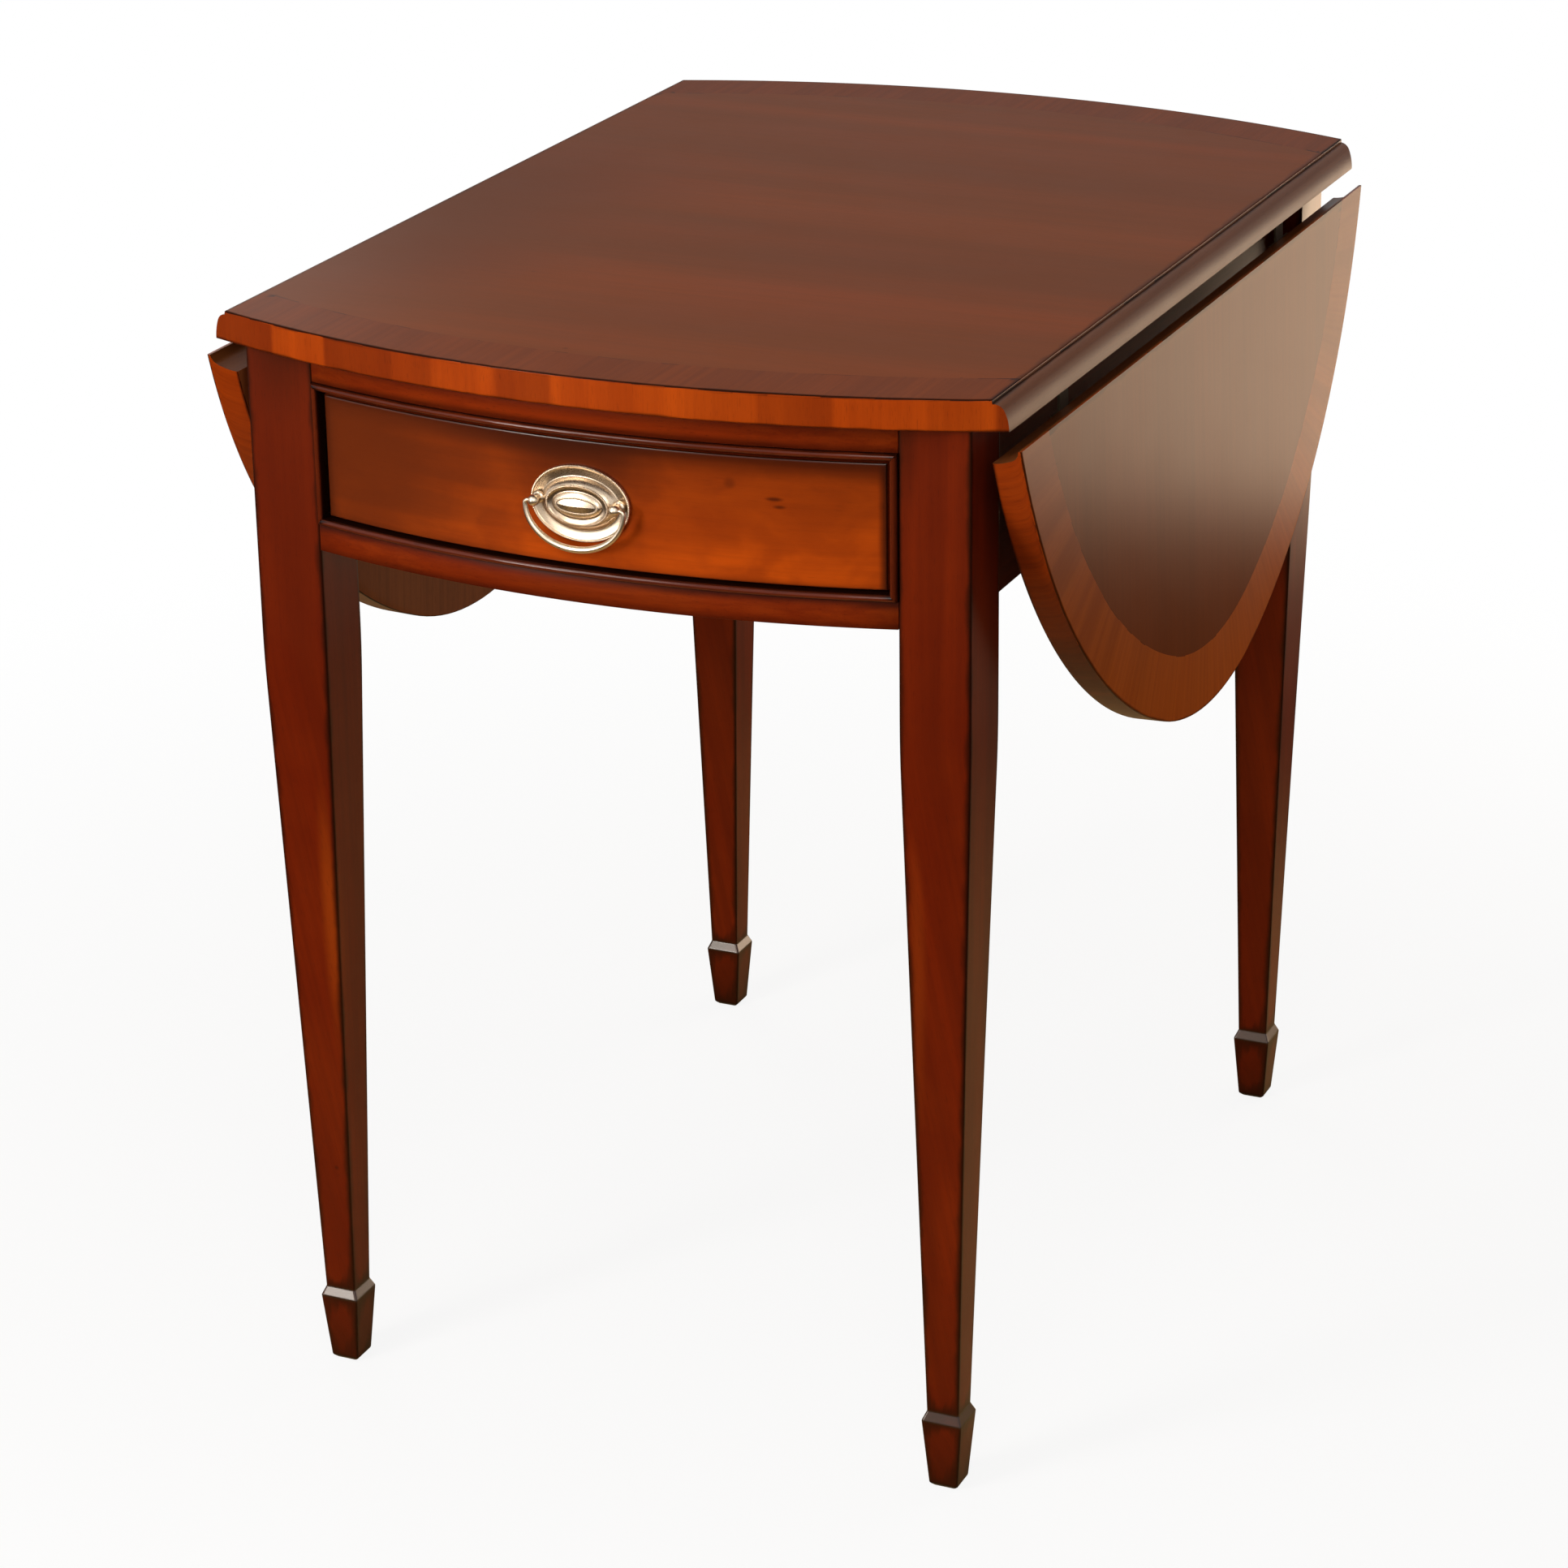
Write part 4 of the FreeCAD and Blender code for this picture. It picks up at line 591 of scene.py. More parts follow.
def leg_piece(node, offcut):
    """Square rings stacked up the leg. The half side follows an eased run through toe, spade, ankle and
    taper; round each ring, four flats meet in quarter circles of the arris radius."""
    low, high = corners_of(node)
    middle = (low + high) / 2
    half = (high[0] - low[0]) / 2
    corners = [(0, 0), (TOE_HALF - TOE_ROUND, 0), (TOE_HALF, TOE_ROUND), (SPADE_HALF, SPADE_Z),
               (ANKLE_HALF, ANKLE_Z), (half, TAPER_Z), (half, high[2]), (0, high[2])]
    run = rounded_run(corners, LEG_EASES, LEG_STEP)
    width, height = run[:, :1], run[:, 1:]
    arris = np.minimum(LEG_ARRIS, THIN_SHARE * width)
    in_x = np.concatenate([0 * FLAT_SHARES, np.cos(ARRIS_TURNS) - 1])
    out_y = np.concatenate([FLAT_SHARES, np.ones_like(ARRIS_TURNS)])
    in_y = np.concatenate([-FLAT_SHARES, np.sin(ARRIS_TURNS) - 1])
    side_x = width + in_x * arris
    side_y = out_y * width + in_y * arris
    ring_x = np.concatenate([side_x, -side_y, -side_x, side_y, side_x[:, :1]], 1)
    ring_y = np.concatenate([side_y, side_x, -side_y, -side_x, side_y[:, :1]], 1)
    round_about = run_along(np.stack([ring_x.T, ring_y.T], -1)).T
    edge = width - np.minimum(abs(ring_x), abs(ring_y))
    for mark in (TOE_ROUND, SPADE_Z, ANKLE_Z):
        edge = np.minimum(edge, abs(height - mark))
    points = xyz(middle[0] + ring_x, middle[1] + ring_y, height)
    faces = patch(points, height + offcut, round_about + offcut, edge)
    return make_piece(node + "_turned", [faces], [LEG_WOOD])


for number, end in enumerate(("front_left", "front_right", "back_left", "back_right")):
    dress(leg_piece("leg_" + end, GRAIN_APART * number), "table_frame", "mahogany", "leg_" + end)


# Top and leaves
def rule_profile(gap):
    """The rule joint's curve from its foot to its top, a gap away from the top board: a body arc that rises
    square from the underside, then a nose arc, both tangent where they meet."""
    overhang = edge_x - half_top
    nose_z = top_z - STEP_HEIGHT - NOSE_RADIUS
    drop = nose_z - under_z
    body = (overhang ** 2 + drop ** 2 - NOSE_RADIUS ** 2) / (2 * (overhang - NOSE_RADIUS))
    meet = math.atan2(drop, half_top - edge_x + body)
    low = np.linspace(0, meet, 8)[:-1]
    high = np.linspace(meet, math.acos(gap / (NOSE_RADIUS + gap)), 14)
    wide = body + gap
    tight = NOSE_RADIUS + gap
    x = np.concatenate([edge_x - body + wide * np.cos(low), half_top + tight * np.cos(high)])
    z = np.concatenate([under_z + wide * np.sin(low), nose_z + tight * np.sin(high)])
    return x, z


FINE = [0, 0.0003, 0.0007, 0.0015, 0.004, 0.012]
STATIONS = 48
EDGE_SHARES = np.concatenate([[0, 0.02, 0.05, 0.12], np.linspace(0.2, 0.8, 7), [0.9, 0.96, 1]])[None]


def top_core():
    """Stations across the table carry a section along Y: flat below, flat or following the rule curve above.
    Each section's half length is the bowed reach, drawn back where the lower arris is eased."""
    curve_x, curve_z = rule_profile(0)
    flat = graded(-half_top, half_top, STATIONS, FINE)
    x = np.concatenate([-curve_x, flat, curve_x[::-1]])[:, None]
    z = np.concatenate([curve_z, np.full_like(flat, core_z), curve_z[::-1]])[:, None]
    share = np.linspace(-1, 1, 25)[None]
    thick = z - under_z
    crown = reach(x, eased(thick, ARRIS), top_shift)
    floor = reach(x, ARRIS, top_shift)
    profile = run_along(np.concatenate([x, z], 1))[:, None]
    upper = xyz(x, share * crown, z)
    lower = xyz(x, share * floor, under_z)
    height = EDGE_SHARES * thick
    drawn = reach(x, eased(height, ARRIS), top_shift)
    edge = np.minimum(height, top_z - under_z - height)
    count = len(curve_x)
    off_step = np.hypot(curve_x - half_top, curve_z - curve_z[-1])
    from_step = np.concatenate([off_step, 0 * flat, off_step[::-1]])[:, None]
    sides = [patch(xyz(x, sign * drawn, under_z + height), height, x + sign, edge) for sign in (-1, 1)]
    moulded = [patch(upper[rows], upper[rows][..., 1], profile[rows], from_step[rows], 1)
               for rows in (np.s_[:count + 1], np.s_[-count - 1:])]
    seat = patch(upper[count:-count], x[count:-count], upper[count:-count][..., 1], finish=1)
    under = patch(lower, x, lower[..., 1], finish=2)
    return make_piece("top_core", [*sides, *moulded, seat, under], [EDGE_WOOD, MOULDED_WOOD, UNDER_WOOD])


def veneer(name, upper, lower, along, across, edge, finish):
    """A thin sheet between two grids of one size, with its grain map on the upper one."""
    sheets = [patch(upper, along, across, edge), patch(lower, along, across)]
    return make_piece(name, sheets + walls(upper, lower, "up", 1), [finish, EDGE_WOOD])


def top_field():
    """The face veneer between the crossbands: x across the table, y a share of the inner bowed reach."""
    x = graded(-half_top, half_top, STATIONS, FINE)[:, None]
    share = np.linspace(-1, 1, 41)[None]
    y = share * reach(x, BAND_WIDTH, top_shift)
    edge = half_top - abs(x) + 0 * y
    fall = eased(edge, ARRIS)
    return veneer("top_field", xyz(x, y, top_z - fall), xyz(x, y, core_z), x, y, edge, TOP_FIELD_WOOD)


BAND_DEPTHS = np.concatenate([FINE, [0.02, 0.03, BAND_WIDTH]])[None]


def top_crossband(sign):
    """A strip of the bow's own width: x across the table, depth in from the bowed end, its arris eased."""
    x = graded(-half_top, half_top, STATIONS, FINE)[:, None]
    depth = BAND_DEPTHS
    y = sign * reach(x, depth, top_shift)
    edge = np.minimum(depth, half_top - abs(x))
    fall = np.maximum(eased(depth, ARRIS), eased(half_top - abs(x), ARRIS))
    name = "crossband_front" if sign < 0 else "crossband_back"
    upper = xyz(x, y, top_z - fall)
    return veneer(name + "_laid", upper, xyz(x, y, core_z), depth + sign, x, edge, BAND_WOOD)


dress(top_core(), "table_frame", "top_veneer", "top_board")
dress(top_field(), "table_frame", "top_veneer", "top_board")
dress(top_crossband(-1), "table_frame", "crossband", "crossband_front")
dress(top_crossband(1), "table_frame", "crossband", "crossband_back")

# The leaf's outline: two side arcs from the corners and an end arc, tangent where they meet
leaf_arc = (LEAF_WIDTH ** 2 + leaf_half ** 2) / (2 * LEAF_WIDTH)
side_arc = leaf_arc + LEAF_SIDE_FLAT
end_arc = leaf_arc - LEAF_END_ROUND
end_x = LEAF_WIDTH - end_arc
slant = math.hypot(leaf_half, end_x)
arc_apart = side_arc - end_arc
arc_along = (side_arc ** 2 - arc_apart ** 2 + slant ** 2) / (2 * slant)
arc_aside = math.sqrt(side_arc ** 2 - arc_along ** 2)
side_x = (arc_along * end_x - arc_aside * leaf_half) / slant
side_y = leaf_half - (arc_along * leaf_half + arc_aside * end_x) / slant
join_x = (end_x - side_x) / arc_apart


def leaf_outline(turn, depth, start):
    """Outline of a raised leaf at a depth in from its rim. The turn goes from -1 at the front corner over 0
    at the middle to 1 at the back corner; x grows with the cosine of its quarter turn from the start at the
    rule joint, and the half breadth there lies on the side arc or, past where they meet, on the end arc."""
    apex = end_x + end_arc - depth
    x = start + (apex - start) * np.cos(turn * QUARTER)
    on_side = side_y + np.sqrt(np.maximum((side_arc - depth) ** 2 - (x - side_x) ** 2, 0))
    on_end = np.sqrt(np.maximum((end_arc - depth) ** 2 - (x - end_x) ** 2, 0))
    return x, np.where(x < end_x + (end_arc - depth) * join_x, on_side, on_end)


def hung(points, sign):
    """A raised leaf's points turned down about the pin, for the right leaf or, mirrored, for the left."""
    out = lip_x + points[..., 0] - pivot_x
    up = points[..., 2] - pivot_z
    x = pivot_x + out * math.cos(LEAF_HANG) + up * math.sin(LEAF_HANG)
    z = pivot_z - out * math.sin(LEAF_HANG) + up * math.cos(LEAF_HANG)
    return xyz(sign * x, points[..., 1], z)


OUTLINE_STEPS = 60
TURN = np.sin(np.linspace(-1, 1, 2 * OUTLINE_STEPS + 1) * QUARTER)[:, None]
HALF_TURN = TURN[OUTLINE_STEPS:]
FOOT_STEPS = np.array([0, 0.0001, 0.0002, 0.0004, 0.0007])


def leaf_core(side, sign):
    """The leaf below its veneers: a wall carried round the outline, faces ruled across from wall to wall,
    and the cove, whose curve sets where the outline starts at each height."""
    curve_x, curve_z = rule_profile(RULE_GAP)
    wall_z = np.concatenate([under_z + FOOT_STEPS, curve_z[1:], [core_z]])
    wall_depth = eased(wall_z - under_z, ARRIS)
    start = np.interp(wall_z, curve_z, curve_x) - lip_x
    x, y = leaf_outline(TURN, wall_depth, start)
    rim = xyz(x, np.sign(TURN) * y, wall_z)
    length = run_along(rim[:, -1])[:, None]
    edge = np.minimum(wall_z - under_z, top_z - wall_z)[None] + 0 * x
    patches = [patch(hung(rim, sign), wall_z, length + sign, edge)]
    share = np.linspace(-1, 1, 31)[None]
    for depth, begin, z in ((wall_depth[0], start[0], under_z), (0, start[-1], core_z)):
        x, y = leaf_outline(HALF_TURN, depth, begin)
        face = xyz(x, share * y, z)
        patches.append(patch(hung(face, sign), face[..., 0] + sign, face[..., 1], finish=1))
    y = leaf_outline(np.ones(1), wall_depth, start)[1]
    cove = xyz(start[:, None], share * y[:, None], wall_z[:, None])
    patches.append(patch(hung(cove, sign), cove[..., 1], wall_z[:, None], finish=2))
    return make_piece(f"leaf_core_{side}", patches, [LEAF_EDGE_WOOD, UNDER_WOOD, MOULDED_WOOD])


def leaf_field(side, sign):
    """The leaf's face veneer inside the crossband, ruled across from rim to rim."""
    x, y = leaf_outline(HALF_TURN, BAND_WIDTH, 0)
    share = np.linspace(-1, 1, 41)[None]
    upper = xyz(x, share * y, top_z)
    lower = upper - [0, 0, top_z - core_z]
    along, across = upper[..., 0], upper[..., 1]
    return veneer(f"leaf_field_{side}", hung(upper, sign), hung(lower, sign), along + sign, across, along,
                  LEAF_FIELD_WOOD)


def leaf_crossband(side, sign):
    """A strip carried round the outline: the turn along the rim, the depth across, its arris eased."""
    depth = BAND_DEPTHS
    x, y = leaf_outline(TURN, depth, 0)
    upper = xyz(x, np.sign(TURN) * y, top_z - eased(depth, ARRIS))
    lower = xyz(x, np.sign(TURN) * y, core_z)
    length = run_along(upper[:, 0])[:, None]
    return veneer(f"leaf_crossband_{side}_laid", hung(upper, sign), hung(lower, sign), depth + sign, length,
                  depth + 0 * x, LEAF_BAND_WOOD)


for side, sign in (("left", -1), ("right", 1)):
    dress(leaf_core(side, sign), f"{side}_leaf", "top_veneer", f"leaf_{side}")
    dress(leaf_field(side, sign), f"{side}_leaf", "top_veneer", f"leaf_{side}")
    dress(leaf_crossband(side, sign), f"{side}_leaf", "crossband", f"leaf_crossband_{side}")


# Drawer front and cock bead
FRONT_SET = 0.003
FRONT_THICK = 0.020
FRONT_ARRIS = 0.001
FRONT_DROP = 0.0027
TAIL_SHOW = 0.0001
FRONT_FINE = [0, 0.0003, 0.0006, 0.001, 0.002, 0.005, 0.012]


def drawer_front():
    """A bowed board: x along it and z up it, its face falling back by a quarter circle next to each arris.
    It reaches a little below the frame's board, and its ends draw in a little towards the back, so that the
    sides' dovetails show there."""
    half = front_high[0]
    base_z = front_low[2] - FRONT_DROP
    x = graded(-half, half, 44, FRONT_FINE)[:, None]
    z = graded(base_z, front_high[2], 10, FRONT_FINE)[None]
    from_end = half - abs(x)
    from_side = np.minimum(z - base_z, front_high[2] - z)
    fall = np.maximum(eased(from_end, FRONT_ARRIS), eased(from_side, FRONT_ARRIS))
    face = xyz(x, -reach(x, FRONT_SET + fall, rail_shift), z)
    back_x = x * (1 - TAIL_SHOW / half)
    back = xyz(back_x, -reach(back_x, FRONT_SET + FRONT_THICK, rail_shift), z)
    sheets = [patch(face, x, z, np.minimum(from_end, from_side)), patch(back, x, z, finish=1)]
    sheets += walls(face, back, "along", 1)
    return make_piece("drawer_front_veneered", sheets, [DRAWER_WOOD, RAIL_WOOD])


BEAD_PROUD = 0.003
NOSE_SHARE = 0.5
BEAD_SIDE = np.array([-0.012, -0.004, -0.001, 0])
bead_width = bead_high[2] - bead_low[2]
bead_half = bead_high[0]
bead_middle = (sill_low[2] + bead_high[2]) / 2
bead_rise = (bead_high[2] - sill_low[2]) / 2


def bead_section():
    """The bead's closed section: how far in from its outer side, and how far proud of the rail. A seat, two
    straight sides and a half-round nose."""
    radius = bead_width / 2
    turn = np.linspace(math.pi, 0, 15)
    inward = np.concatenate([0 * BEAD_SIDE, radius + radius * np.cos(turn), 0 * BEAD_SIDE + bead_width, [0]])
    nose = BEAD_PROUD - radius + radius * np.sin(turn)
    proud = np.concatenate([BEAD_SIDE, nose, BEAD_SIDE[::-1], BEAD_SIDE[:1]])
    return inward[None], proud[None]


def bead_piece(name):
    """The section carried along one side of the drawer opening. Both ends are mitred, because each line of
    the section is shorter by its own distance in; every point lies on the bow at its own depth."""
    inward, proud = bead_section()
    run = np.linspace(-1, 1, 49)[:, None]
    sign = 1 if name in ("bead_top", "bead_right") else -1
    if name in ("bead_top", "bead_bottom"):
        x = run * (bead_half - inward)
        z = bead_middle + sign * (bead_rise - inward) + 0 * x
        along = x
    else:
        z = bead_middle + run * (bead_rise - inward)
        x = sign * (bead_half - inward) + 0 * z
        along = z
    points = xyz(x, -reach(x, -proud, rail_shift), z)
    edge = np.minimum(inward, bead_width - inward) + np.maximum(proud, 0) * NOSE_SHARE + 0 * x
    patches = [patch(points, along, inward + proud, edge), cap(points[0]), cap(points[-1])]
    return make_piece(name + "_mitred", patches, [BEAD_WOOD])


dress(drawer_front(), "drawer", "drawer_veneer", "drawer_front")
for name in ("bead_top", "bead_bottom", "bead_left", "bead_right"):
    dress(bead_piece(name), "table_frame", "cock_bead", name)

# The pull
pull_z = (plate_low[2] + plate_high[2]) / 2
plate_half = (plate_high[0] - plate_low[0]) / 2
plate_tall = (plate_high[2] - plate_low[2]) / 2
bail_y = (bail_low[1] + bail_high[1]) / 2
POST_X = 0.026
POST_BALL = 0.0034
POST_SHANK = 0.002
POST_COLLAR = 0.0036
POST_WAIST = 0.0023
COLLAR_BEHIND = 0.0008
COLLAR_AHEAD = 0.0006
WAIST_AHEAD = 0.0016
POST_EASES = (0.0003, 0.0002, 0.0002, 0.0003, 0.0005)
POST_STEP = 0.002
BALL_FROM = -0.75
BAIL_THIN = 0.00125
BAIL_BELLY = 0.00205
BAIL_SHOULDER = 0.0022
BAIL_SWELL = 0.8
EYE_INSET = 0.0012
EYE_STUB = 0.0002
PLATE_DROP = 0.0013

# The stamped plate hangs a little below its posts. Its rings from the rim inwards: share of the half width,
# share of the half height, height above the drawer in millimetres, hollow
plate_z = pull_z - PLATE_DROP
PLATE_RINGS = (
    (1.000, 1.000, 0.0, 0.60), (1.000, 1.000, 1.2, 0.30), (0.996, 0.994, 2.0, 0.05),
    (0.986, 0.981, 2.6, 0.00), (0.962, 0.947, 2.6, 0.00), (0.950, 0.930, 1.9, 0.30),
    (0.930, 0.902, 1.6, 0.20), (0.880, 0.832, 1.2, 0.10), (0.830, 0.760, 0.9, 0.10),
    (0.795, 0.710, 0.8, 0.35), (0.780, 0.688, 0.9, 0.50), (0.762, 0.665, 1.6, 0.30),
    (0.720, 0.622, 3.5, 0.05), (0.675, 0.572, 5.0, 0.05), (0.640, 0.538, 5.8, 0.25),
    (0.630, 0.527, 6.0, 0.40), (0.622, 0.518, 6.5, 0.00), (0.604, 0.498, 6.6, 0.00),
    (0.594, 0.485, 6.0, 0.50), (0.565, 0.445, 5.5, 0.60), (0.515, 0.370, 5.1, 0.50),
    (0.500, 0.348, 5.2, 0.40), (0.480, 0.315, 6.0, 0.10), (0.455, 0.270, 6.7, 0.00),
    (0.432, 0.232, 7.0, 0.25), (0.424, 0.218, 7.2, 0.10), (0.408, 0.196, 7.3, 0.10),
    (0.398, 0.182, 6.9, 0.60), (0.390, 0.172, 6.9, 0.40))
# Milled and beaded rows: from and to which share of the width, how many beads, how high in millimetres
PLATE_ROWS = ((0.960, 1.0, 158, 0.20), (0.594, 0.632, 98, 0.24), (0.398, 0.434, 60, 0.20))
LENS_RISE = 0.0012
WING = ((0.0288, 0.0040), (0.0222, 0.0088), (0.0222, 0.0030))
WING_RISE = 0.0016
WING_SLOPE = 0.0018
WING_FROM = 0.66
WING_TO = 0.95
LENS_HOLLOW = 0.15
BACK_HOLLOW = 0.5
PLATE_SHARP_ANGLE = 50
MILLIMETRE = 0.001


def beading(share, low, high, count, run):
    """A row of beads between two shares of the plate: a half wave across the row times a wave along it."""
    across = np.clip((share - low) / (high - low), 0, 1)
    return np.sin(math.pi * across) * np.cos(FULL_TURN * count * run)


def wing_height(x, z):
    """A low three-sided pyramid beside each post: the least distance in from the triangle's sides."""
    inside = np.full(np.broadcast(x, z).shape, 1.0)
    for (ax, az), (bx, bz) in zip(WING, WING[1:] + WING[:1]):
        length = math.hypot(bx - ax, bz - az)
        inside = np.minimum(inside, -((bx - ax) * (z - az) - (bz - az) * (abs(x) - ax)) / length)
    return WING_RISE * np.clip(inside / WING_SLOPE, 0, 1)


def backplate():
    """An oval stamping: rings of shrinking half axes at set heights, with milled and beaded rows of waves,
    two wings, and a lens whose height falls off straight from a ridge along its length."""
    rings = np.array(PLATE_RINGS)
    knots = np.linspace(0, 1, len(rings))
    fine = np.linspace(0, 1, 3 * len(rings))
    wide, tall, height, hollow = (np.interp(fine, knots, rings[:, k])[:, None] for k in range(4))
    height = height * MILLIMETRE
    turn = np.linspace(0, FULL_TURN, 901)[None]
    step = np.hypot(plate_half * np.sin(turn), plate_tall * np.cos(turn))
    run = np.cumsum(step, 1) - step[:, :1]
    run = run / run[:, -1:]
    x = plate_half * wide * np.cos(turn)
    z = plate_tall * tall * np.sin(turn)
    for low, high, count, rise in PLATE_ROWS:
        height = height + rise * MILLIMETRE * beading(wide, low, high, count, run)
    height = height + np.where((wide > WING_FROM) & (wide < WING_TO), wing_height(x, z), 0)
    lens = np.linspace(1, 0, 14)[:, None]
    lens_half = plate_half * wide[-1]
    lens_tall = plate_tall * tall[-1]
    lens_x = lens_half * lens * np.cos(turn)
    lens_z = lens_tall * lens * np.sin(turn)
    ridge = LENS_RISE * (1 - (lens_x / lens_half) ** 2)
    breadth = lens_tall * np.sqrt(np.maximum(1 - (lens_x / lens_half) ** 2, 1e-9))
    lens_height = height[-1] + ridge * (1 - np.minimum(abs(lens_z) / breadth, 1))
    x = np.concatenate([x, lens_x[1:]])
    z = np.concatenate([z, lens_z[1:]])
    height = np.concatenate([height, lens_height[1:]])
    hollow = np.concatenate([hollow + 0 * run, 0 * lens_x[1:] + LENS_HOLLOW])
    front = xyz(x, -reach(x, FRONT_SET - height, rail_shift), plate_z + z)
    back = np.stack([front[0], np.broadcast_to(front[0, :-1].mean(0), front[0].shape)])
    patches = [patch(front, x, z, hollow), patch(back, back[..., 0], back[..., 2], BACK_HOLLOW)]
    return make_piece("pull_backplate_stamped", patches, [PULL_BRASS], PLATE_SHARP_ANGLE)


def turned(name, centre, profile, finish):
    """A profile of radius and distance out from the drawer, turned about a line along Y."""
    turn = np.linspace(0, FULL_TURN, 49)[None]
    radius, out = profile[:, :1], profile[:, 1:]
    points = xyz(centre[0] + radius * np.cos(turn), centre[1] - out, centre[2] + radius * np.sin(turn))
    return make_piece(name, [patch(points, out, radius * turn)], [finish])


def post(name, sign):
    """Shank, collar, waist and ball of a post; distances are out from the bail's axis."""
    tail = bail_y - corners_of(name)[1][1]
    seat = bail_y - plate_low[1]
    swell = np.linspace(BALL_FROM, QUARTER, 22)
    ball = POST_BALL * np.stack([np.cos(swell), np.sin(swell)], -1)
    ball[-1, 0] = 0
    corners = [(0, tail), (POST_SHANK, tail), (POST_SHANK, seat - COLLAR_BEHIND),
               (POST_COLLAR, seat - COLLAR_BEHIND), (POST_COLLAR, seat + COLLAR_AHEAD),
               (POST_WAIST, seat + WAIST_AHEAD), tuple(ball[0])]
    foot = rounded_run(corners, POST_EASES, POST_STEP)
    centre = (sign * POST_X, bail_y, pull_z)
    return turned(name + "_turned", centre, np.concatenate([foot[:-1], ball]), PLAIN_BRASS)


def bail():
    """A round bar, thicker at its lowest point, carried along a half ellipse below a short shoulder at each
    end."""
    shoulder = BAIL_SHOULDER
    eye = POST_X - EYE_INSET
    half = bail_high[0] - BAIL_THIN
    drop = pull_z - bail_low[2] - BAIL_BELLY - shoulder
    bend = np.linspace(0, QUARTER, 9)[:-1]
    sweep = np.linspace(0, math.pi, 81)
    start_x = np.concatenate([[eye, eye + EYE_STUB], half - shoulder + shoulder * np.sin(bend)])
    start_z = np.concatenate([[0, 0], shoulder * (np.cos(bend) - 1)])
    x = np.concatenate([start_x, half * np.cos(sweep), -start_x[::-1]])
    z = np.concatenate([start_z, -shoulder - drop * np.sin(sweep), start_z[::-1]])
    path = np.stack([x, z], -1)
    ahead = np.gradient(path, axis=0)
    ahead = ahead / np.linalg.norm(ahead, axis=1, keepdims=True)
    low_share = np.clip(-z[:, None] / (drop + shoulder), 0, 1)
    thick = BAIL_THIN + (BAIL_BELLY - BAIL_THIN) * low_share ** BAIL_SWELL
    turn = np.linspace(0, FULL_TURN, 33)[None]
    out = thick * np.cos(turn)
    points = xyz(x[:, None] + ahead[:, 1:] * out, bail_y + thick * np.sin(turn),
                 pull_z + z[:, None] - ahead[:, :1] * out)
    patches = [patch(points, run_along(path)[:, None], thick * turn), cap(points[0]), cap(points[-1])]
    return make_piece("pull_bail_bent", patches, [PLAIN_BRASS])


dress(backplate(), "drawer", "antique_brass", "pull_backplate")
for name, sign in (("pull_post_left", -1), ("pull_post_right", 1)):
    dress(post(name, sign), "drawer", "antique_brass", name)
dress(bail(), "bail", "antique_brass", "pull_bail")

# Boards and fittings that keep the frame's own shape
KEPT_JOIN = 1e-5
KEPT_ARRIS = 0.0005
KEPT_SHARP = math.radians(40)


def both(*stems):
    """Names of the left and the right node of each stem."""
    return tuple(f"{stem}_{side}" for stem in stems for side in ("left", "right"))


def soften(kept):
    """Joined corners and a small bevel on the sharp edges of a board."""
    weld = kept.modifiers.new("joined_corners", "WELD")
    weld.merge_threshold = KEPT_JOIN
    soft = kept.modifiers.new("eased_arrises", "BEVEL")
    soft.width = KEPT_ARRIS
    soft.segments = 2
    soft.limit_method = "ANGLE"
    soft.angle_limit = KEPT_SHARP


IRONWORK = [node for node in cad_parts
            if node.startswith("hinge_") or node.endswith(("screws", "_screws_left", "_screws_right"))]
KEPT = {
    RAIL_WOOD: ("front_top_rail", "front_bottom_rail", "back_rail"),
    SIDE_WOOD: both("side_rail"),
    SECONDARY_WOOD: (*both("drawer_side", "runner", "kicker"), "glue_blocks"),
    SECONDARY_ACROSS: ("drawer_back", "drawer_bottom", "drawer_stops", "back_cleat", "support_keeper",
                       *both("leaf_support", "support_peg")),
    PLAIN_BRASS: ("pull_nuts",),
    HINGE_STEEL: IRONWORK}
for finish, nodes in KEPT.items():
    for node in nodes:
        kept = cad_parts[node]
        kept.data.materials.clear()
        kept.data.materials.append(finish)
        if finish not in (PLAIN_BRASS, HINGE_STEEL):
            soften(kept)


# Floor, light and camera
FLOOR_RADIUS = 9.0
FLOOR_SINK = 0.0002
FLOOR_PALE = (0.93, 0.93, 0.93, 1)
FLOOR_TAN = (0.30, 0.19, 0.085, 1)
FLOOR_TAN_MIRRORED = (0.92, 0.66, 0.31, 1)
FLOOR_DIM = (0.06, 0.04, 0.025, 1)
SKY_DIM = (0.20, 0.19, 0.175, 1)
SKY_LOW = (0.34, 0.32, 0.28, 1)
BLACK = (0, 0, 0, 1)
WHITE = (1, 1, 1, 1)
WARM_WHITE = (1.0, 0.96, 0.90)


